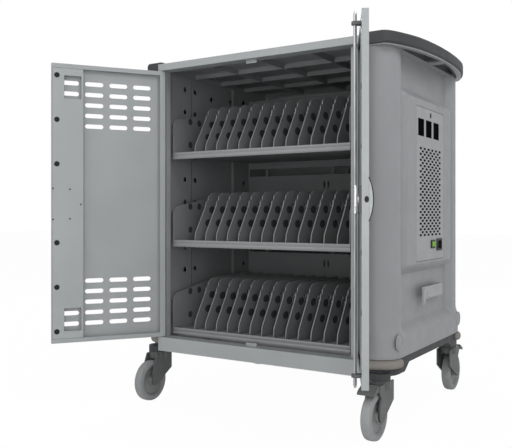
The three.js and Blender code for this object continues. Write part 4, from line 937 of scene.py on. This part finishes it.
class CART_OT_door_fittings(bpy.types.Operator):
    """Makes the stiffeners' snap plugs and rivets, the painted shadow strip along the pull and the key cover"""
    bl_idname = "cart.door_fittings"
    bl_label = "Door fittings"

    def execute(self, context):
        size = context.scene.cart_sizes
        for side, hand in (("left", 1), ("right", -1)):
            node = side + "_door_stiffener"
            low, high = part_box(side + "_door")
            bm = bmesh.new()
            for index in range(SNAP_PLUGS):
                rise = size.plug_from_end + size.plug_pitch * (index % 3)
                z = low.z + rise if index < 3 else high.z - rise
                add_turned(bm, snap_plug(size), 24, on_stiffener(size, hand * size.plug_along, z))
            bmesh.ops.transform(bm, matrix=door_place(side + "_door_hinge"), verts=bm.verts)
            piece_from(side + "_snap_plugs", bm, "plug", BODY_OF[node], SLOT_OF[node])
        strike_rivets(size)
        pull_shadow_strip(size)
        key_cylinder(size)
        return {"FINISHED"}


def on_stiffener(size, along, z):
    """Stands a turned shape on a closed door's stiffener, its face towards +Y."""
    return Matrix.Translation((along, size.door_face, z)) @ Matrix.Rotation(-QUARTER_TURN, 4, "X")


def snap_plug(size):
    """The profile of a domed plug with a rim."""
    rim = size.plug_radius
    return [(0, 1.4 * MM), (rim * 0.55, 1.2 * MM), (rim * 0.62, 0.5 * MM), (rim * 0.7, 0.9 * MM),
            (rim * 0.95, 0.7 * MM), (rim, 0)]


def strike_rivets(size):
    """Small dark rivets where the latch plate is fixed inside the left door's stiffener."""
    bm = bmesh.new()
    for along, rise in STRIKE_RIVETS:
        place = on_stiffener(size, size.plug_along + along * MM, size.door_middle + rise * MM)
        add_turned(bm, RIVET, 12, place)
    bmesh.ops.transform(bm, matrix=door_place("left_door_hinge"), verts=bm.verts)
    node = "left_door_stiffener"
    piece_from("strike_rivets", bm, "plug", BODY_OF[node], SLOT_OF[node])


def pull_shadow_strip(size):
    """A dark strip along the crest of the door pull, spun about the pull's own centre: painted shadow for the
    shadow gap along the pull's edge.
    """
    radius = (size.pull_length ** 2 / 4 + size.pull_rise ** 2) / (2 * size.pull_rise)
    half_turn = math.asin(size.pull_length / 2 / radius)
    centre = Vector((0, radius - size.pull_rise - PULL_FACE, size.door_middle))
    bm = bmesh.new()
    corners = []
    section = ((SHADOW_STRIP_FROM, SHADOW_STRIP_FOOT), (SHADOW_STRIP_FROM, SHADOW_STRIP_CREST), (SHADOW_STRIP_TO, SHADOW_STRIP_CREST), (SHADOW_STRIP_TO, SHADOW_STRIP_FOOT))
    for x, rise in section:
        reach = radius + rise * MM
        y = centre.y - reach * math.cos(half_turn)
        corners.append(bm.verts.new((x * MM, y, centre.z - reach * math.sin(half_turn))))
    face = bm.faces.new(corners)
    bmesh.ops.spin(bm, geom=[face], cent=centre, axis=(1, 0, 0), angle=-2 * half_turn, steps=24)
    bmesh.ops.recalc_face_normals(bm, faces=bm.faces)
    bmesh.ops.transform(bm, matrix=door_place("right_door_hinge"), verts=bm.verts)
    # Painted shadow: the dark strip stands for the shadow gap at the pull's edge
    piece_from("pull_shadow_strip", bm, "plug", BODY_OF["door_pull"], SLOT_OF["door_pull"])


def key_cylinder(size):
    """An oval key cover on the free edge of the right door."""
    bm = bmesh.new()
    turned_shape(bm, KEY_COVER, steps=32)
    bmesh.ops.scale(bm, vec=(1, 1.5, 1), verts=bm.verts)
    facing = Matrix.Rotation(-QUARTER_TURN, 4, "Y") @ Matrix.Rotation(QUARTER_TURN, 4, "Z")
    place = Matrix.Translation((*KEY_PLACE, size.door_middle)) @ facing
    bmesh.ops.transform(bm, matrix=door_place("right_door_hinge") @ place, verts=bm.verts)
    piece_from("key_cylinder", bm, "plug", BODY_OF["right_door"], SLOT_OF["lock_case"])


# Cord hook

# The stop's size and rounding, and the places of its middle and of the screw on the hook
STOP_SIZE, STOP_ROUND = Vector((5, 15, 44)) * MM, 2 * MM
STOP_OUT, STOP_ALONG, SCREW_ALONG = 1.5 * MM, 8 * MM, 48 * MM
SCREW = millimetres([(0, 1.6), (1.4, 1.6), (1.6, 3), (4, 2.6), (5.4, 1.2), (5.6, -0.5)])


class CART_OT_cord_hook(bpy.types.Operator):
    """Adds the stop block and the fixing screw of the cord hook"""
    bl_idname = "cart.cord_hook"
    bl_label = "Cord hook"

    def execute(self, context):
        low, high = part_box("cord_hook")
        middle_z = (low.z + high.z) / 2
        body, slot = BODY_OF["cord_hook"], SLOT_OF["cord_hook"]
        bm = bmesh.new()
        bmesh.ops.create_cube(bm, size=1)
        bmesh.ops.scale(bm, vec=STOP_SIZE, verts=bm.verts)
        outer = [e for e in bm.edges if all(v.co.x > 0 for v in e.verts)]
        round_edges(bm, outer, STOP_ROUND, segments=3, clamp=False)
        bmesh.ops.translate(bm, vec=(high.x + STOP_OUT, low.y + STOP_ALONG, middle_z), verts=bm.verts)
        even_shading(piece_from("hook_stop", bm, "light_steel", body, slot))
        bm = bmesh.new()
        turned_shape(bm, SCREW, steps=32)
        place = Matrix.Translation((high.x, low.y + SCREW_ALONG, middle_z)) @ TO_RIGHT_SIDE
        bmesh.ops.transform(bm, matrix=place, verts=bm.verts)
        piece_from("hook_screw", bm, "zinc", body, slot)
        return {"FINISHED"}


# Trays

# How far the drills for the dividers' holes stop short of the lip's two ends together
DRILL_SHORT = 24 * MM
# From a tray's left end to the middle of its end wall
END_WALL = MM
# Half a circle from pole to pole, which spins into a bead
BEAD_ARC = [(math.sin(step * math.pi / 8), -math.cos(step * math.pi / 8)) for step in range(9)]


class CART_OT_trays(bpy.types.Operator):
    """Rounds the trays, opens their cable holes and adds beads and dark discs of painted shade to the dividers"""
    bl_idname = "cart.trays"
    bl_label = "Trays"

    def execute(self, context):
        size = context.scene.cart_sizes
        stretch = size.cable_hole_length / size.cable_hole
        for node in TRAYS:
            low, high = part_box(node.replace("tray", "tray_lip"))
            bm = bmesh.new()
            for spot in DIVIDER_HOLES:
                middle = tray_spot((low.x + high.x) / 2, high.z, spot)
                add_drill(bm, middle, size.cable_hole, high.x - low.x - DRILL_SHORT, segments=28, stretch=stretch)
            rounded_copy(node, "dark_steel", size.edge_round, drilled(NODES[node].data, bm))
            divider_beads(size, node, low.x, high.z)
            tray_shade_discs(size, node, low.x, high.z)
        return {"FINISHED"}


def tray_spot(x, level, spot):
    """A place in a tray, from its depth and its height above the lip in millimetres."""
    depth, rise = spot
    return Vector((x, ORIGIN.y + depth * MM, level + rise * MM))


def divider_places(size, left):
    """Where the dividers stand along a tray."""
    return [left + size.first_divider + size.divider_pitch * index for index in range(DIVIDERS)]


def divider_beads(size, node, left, level):
    """Two small beads on the slanted edge of every divider."""
    bm = bmesh.new()
    profile = [(radius * size.bead_radius, height * size.bead_radius) for radius, height in BEAD_ARC]
    for x in divider_places(size, left):
        for spot in DIVIDER_BEADS:
            add_turned(bm, profile, 12, Matrix.Translation(tray_spot(x, level, spot)))
    piece_from(node + "_divider_beads", bm, "dark_steel", BODY_OF[node], SLOT_OF[node])


def tray_shade_discs(size, node, left, level):
    """Dark closed discs in a tray's cable holes, painted shade for the dark seen through them: flat ovals, a
    little thicker than the sheet they close.
    """
    bm = bmesh.new()
    high = size.cable_hole + size.shade_disc_rim
    stretch = (size.cable_hole_length + size.shade_disc_rim) / high
    for x in divider_places(size, left):
        for spot in DIVIDER_HOLES:
            add_turned(bm, shade_disc(size, high), 28, along_x(tray_spot(x, level, spot), stretch))
    for spot in END_HOLES:
        round_shade_disc = shade_disc(size, size.end_hole + size.shade_disc_rim)
        add_turned(bm, round_shade_disc, 28, along_x(tray_spot(left + END_WALL, level, spot)))
    # Painted shade: the discs take the dark moulding so that the holes read dark
    piece_from(node + "_shade_discs", bm, "dark_moulding", BODY_OF[node], SLOT_OF[node])


def shade_disc(size, radius):
    """The profile of a dark disc of painted shade."""
    half = size.shade_disc_thickness / 2
    return [(0, -half), (radius, -half), (radius, half), (0, half)]


# Casters

# Points of half a wheel's profile, as distance in from the tread and half width, in millimetres
CENTRE_PROFILE = [(-57, 15.4), (-48.5, 15.4), (-46.5, 13.5), (-46, 8.5), (-44, 7.5), (-24, 7.5), (-21, 8.5),
                  (-19.5, 12), (-18, 13.5), (-13.5, 13.5)]
TYRE_PROFILE = [(-14.5, 12.5), (-14, 14.5), (-10, 15), (-7, 14.2), (-6, 13.4), (-4, 13.1), (-1.5, 11.5),
                (-0.3, 8), (0, 4)]


class CART_OT_wheels(bpy.types.Operator):
    """Turns the four caster wheels, each a nylon centre and a rubber tyre"""
    bl_idname = "cart.wheels"
    bl_label = "Wheels"

    def execute(self, context):
        for corner in CORNERS:
            node = "caster_wheel_" + corner
            joint = JOINTS["roll_" + corner]
            low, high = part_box(node)
            radius = (high.z - low.z) / 2
            turn = Vector((0, 0, 1)).rotation_difference(Vector(joint["axis"])).to_matrix().to_4x4()
            place = Matrix.Translation(joint["pos_m"]) @ turn
            centre = wheel_shape(CENTRE_PROFILE, radius, place)
            piece_from("wheel_centre_" + corner, centre, "wheel", BODY_OF[node], SLOT_OF[node])
            tyre = wheel_shape(TYRE_PROFILE, radius, place)
            piece_from("wheel_tyre_" + corner, tyre, "tread", BODY_OF[node], SLOT_OF[node], node)
        return {"FINISHED"}


def wheel_shape(profile, radius, place):
    """Turns half a profile and its mirror image about a wheel's axle."""
    bm = bmesh.new()
    both = profile + [(inset, -half) for inset, half in reversed(profile)]
    turned_shape(bm, [(radius + inset * MM, half * MM) for inset, half in both], steps=64)
    bmesh.ops.transform(bm, matrix=place, verts=bm.verts)
    return bm


# Studio

FLOOR_NAME = "pale studio floor"
FLOOR_HALF = 20
# How much of the floor's look is plain white to the eye; the rest keeps the soft shadow
FLOOR_WHITE = 0.97
# The world's strength on the cart, where 1 is the white that the eye sees
WORLD_ON_CART = 0.55
LAMP_TARGET = Vector((0, 0, 0.6))
# Each lamp's place and width in metres, and its power in watts
LAMPS = {
    "key_lamp": ((-1.2, -3.4, 2.6), 2.2, 45),
    "back_lamp": ((-1.6, 3.2, 2.4), 2.6, 45),
    "side_lamp": ((2.4, -0.9, 3.0), 1.4, 40),
    "fill_lamp": ((1.7, -3.1, 0.9), 1.8, 42),
}
CAMERA_PLACE = (1.1386, -1.9403, 0.588)
CAMERA_TURN = math.radians(32.5)
CAMERA_LENS, CAMERA_SENSOR = 50.3, 36
# The horizon lies 9.6 of the image's 512 pixels above its middle
CAMERA_SHIFT = -9.6 / 512


class CART_OT_studio(bpy.types.Operator):
    """Sets the floor, lights, world and camera round the cart"""
    bl_idname = "cart.studio"
    bl_label = "Studio"

    def execute(self, context):
        bm = bmesh.new()
        bmesh.ops.create_grid(bm, x_segments=1, y_segments=1, size=FLOOR_HALF)
        mesh = bpy.data.meshes.new("studio_floor")
        bm.to_mesh(mesh)
        bm.free()
        pale_floor()
        mesh.materials.append(bpy.data.materials[FLOOR_NAME])
        floor = bpy.data.objects.new("studio_floor", mesh)
        context.scene.collection.objects.link(floor)
        studio_world(context.scene)
        for name, (place, width, power) in LAMPS.items():
            soft_lamp(context.scene, name, Vector(place), width, power)
        photo_camera(context.scene)
        context.scene.view_settings.view_transform = "Standard"
        return {"FINISHED"}


def seen_by_eye(tree):
    """1 for rays that show the background: from the camera, in a reflection or through glass."""
    path = add_node(tree, "ShaderNodeLightPath").outputs
    glossy = add_node(tree, "ShaderNodeMath", {0: path["Is Camera Ray"], 1: path["Is Glossy Ray"]},
                      operation="MAXIMUM")
    return add_node(tree, "ShaderNodeMath", {0: glossy.outputs["Value"], 1: path["Is Transmission Ray"]},
                    operation="MAXIMUM").outputs["Value"]


def pale_floor():
    """A matt white studio floor, with faint clouds 400 mm across, that keeps the soft shadow of the cart."""
    tree, place = new_material(FLOOR_NAME)
    cloud = add_node(tree, "ShaderNodeTexNoise", {"Vector": place, "Scale": scale_of(400), "Detail": 2})
    tone = add_node(tree, "ShaderNodeValToRGB", {"Fac": cloud.outputs["Fac"]},
                    stops=((TONE_FROM, srgb("#F4F4F4")), (TONE_TO, srgb("#F8F8F8"))))
    matt = add_node(tree, "ShaderNodeBsdfDiffuse", {"Color": tone.outputs["Color"]})
    white = add_node(tree, "ShaderNodeEmission", {"Color": (1, 1, 1, 1), "Strength": 1.0})
    share = add_node(tree, "ShaderNodeMath", {0: seen_by_eye(tree), 1: FLOOR_WHITE}, operation="MULTIPLY")
    mixed = add_node(tree, "ShaderNodeMixShader", {
        "Fac": share.outputs["Value"], 1: matt.outputs["BSDF"], 2: white.outputs["Emission"],
    })
    add_node(tree, "ShaderNodeOutputMaterial", {"Surface": mixed.outputs["Shader"]})


def studio_world(scene):
    """A white backdrop to the eye, and a plain soft light on the cart."""
    world = bpy.data.worlds.new("studio world")
    world.use_nodes = True
    tree = world.node_tree
    tree.nodes.clear()
    strength = add_node(tree, "ShaderNodeMapRange", {
        "Value": seen_by_eye(tree), "To Min": WORLD_ON_CART, "To Max": 1.0,
    })
    background = add_node(tree, "ShaderNodeBackground", {
        "Color": (1, 1, 1, 1), "Strength": strength.outputs["Result"],
    })
    add_node(tree, "ShaderNodeOutputWorld", {"Surface": background.outputs["Background"]})
    scene.world = world


def soft_lamp(scene, name, place, width, power):
    """A square area lamp at a place, turned to the middle of the cart."""
    light = bpy.data.lights.new(name, "AREA")
    light.size = width
    light.energy = power
    lamp = bpy.data.objects.new(name, light)
    lamp.location = place
    lamp.rotation_euler = (LAMP_TARGET - place).to_track_quat("-Z", "Y").to_euler()
    scene.collection.objects.link(lamp)


def photo_camera(scene):
    """The fitted camera: level, turned to the left, with the horizon just above the middle."""
    lens = bpy.data.cameras.new("photo_camera")
    lens.sensor_width = CAMERA_SENSOR
    lens.lens = CAMERA_LENS
    lens.shift_y = CAMERA_SHIFT
    camera = bpy.data.objects.new("photo_camera", lens)
    camera.location = CAMERA_PLACE
    camera.rotation_euler = (QUARTER_TURN, 0, CAMERA_TURN)
    scene.collection.objects.link(camera)
    scene.camera = camera


# Panel and registration

class CART_PT_panel(bpy.types.Panel):
    """The cart's finishes, sizes and operators"""
    bl_idname = "CART_PT_panel"
    bl_label = "Charging cart"
    bl_space_type = "VIEW_3D"
    bl_region_type = "UI"
    bl_category = "Cart"

    def draw(self, context):
        for operator in OPERATORS:
            self.layout.operator(operator.bl_idname)
        for group in (context.scene.cart_finishes, context.scene.cart_sizes):
            for name in group.__annotations__:
                self.layout.prop(group, name)


OPERATORS = (
    CART_OT_finishes, CART_OT_rounded, CART_OT_control_panel, CART_OT_shells, CART_OT_bumpers, CART_OT_doors,
    CART_OT_door_fittings, CART_OT_cord_hook, CART_OT_trays, CART_OT_wheels, CART_OT_studio,
)
CLASSES = (CartFinishes, CartSizes, *OPERATORS, CART_PT_panel)


def register():
    """Registers the classes and hangs the properties on the scene."""
    for item in CLASSES:
        bpy.utils.register_class(item)
    bpy.types.Scene.cart_finishes = bpy.props.PointerProperty(type=CartFinishes)
    bpy.types.Scene.cart_sizes = bpy.props.PointerProperty(type=CartSizes)


def unregister():
    """Takes the properties and classes away again."""
    del bpy.types.Scene.cart_finishes
    del bpy.types.Scene.cart_sizes
    for item in reversed(CLASSES):
        bpy.utils.unregister_class(item)


def main():
    """Registers the add-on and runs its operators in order."""
    register()
    for operator in OPERATORS:
        space, name = operator.bl_idname.split(".")
        getattr(getattr(bpy.ops, space), name)()


if __name__ == "__main__":
    main()
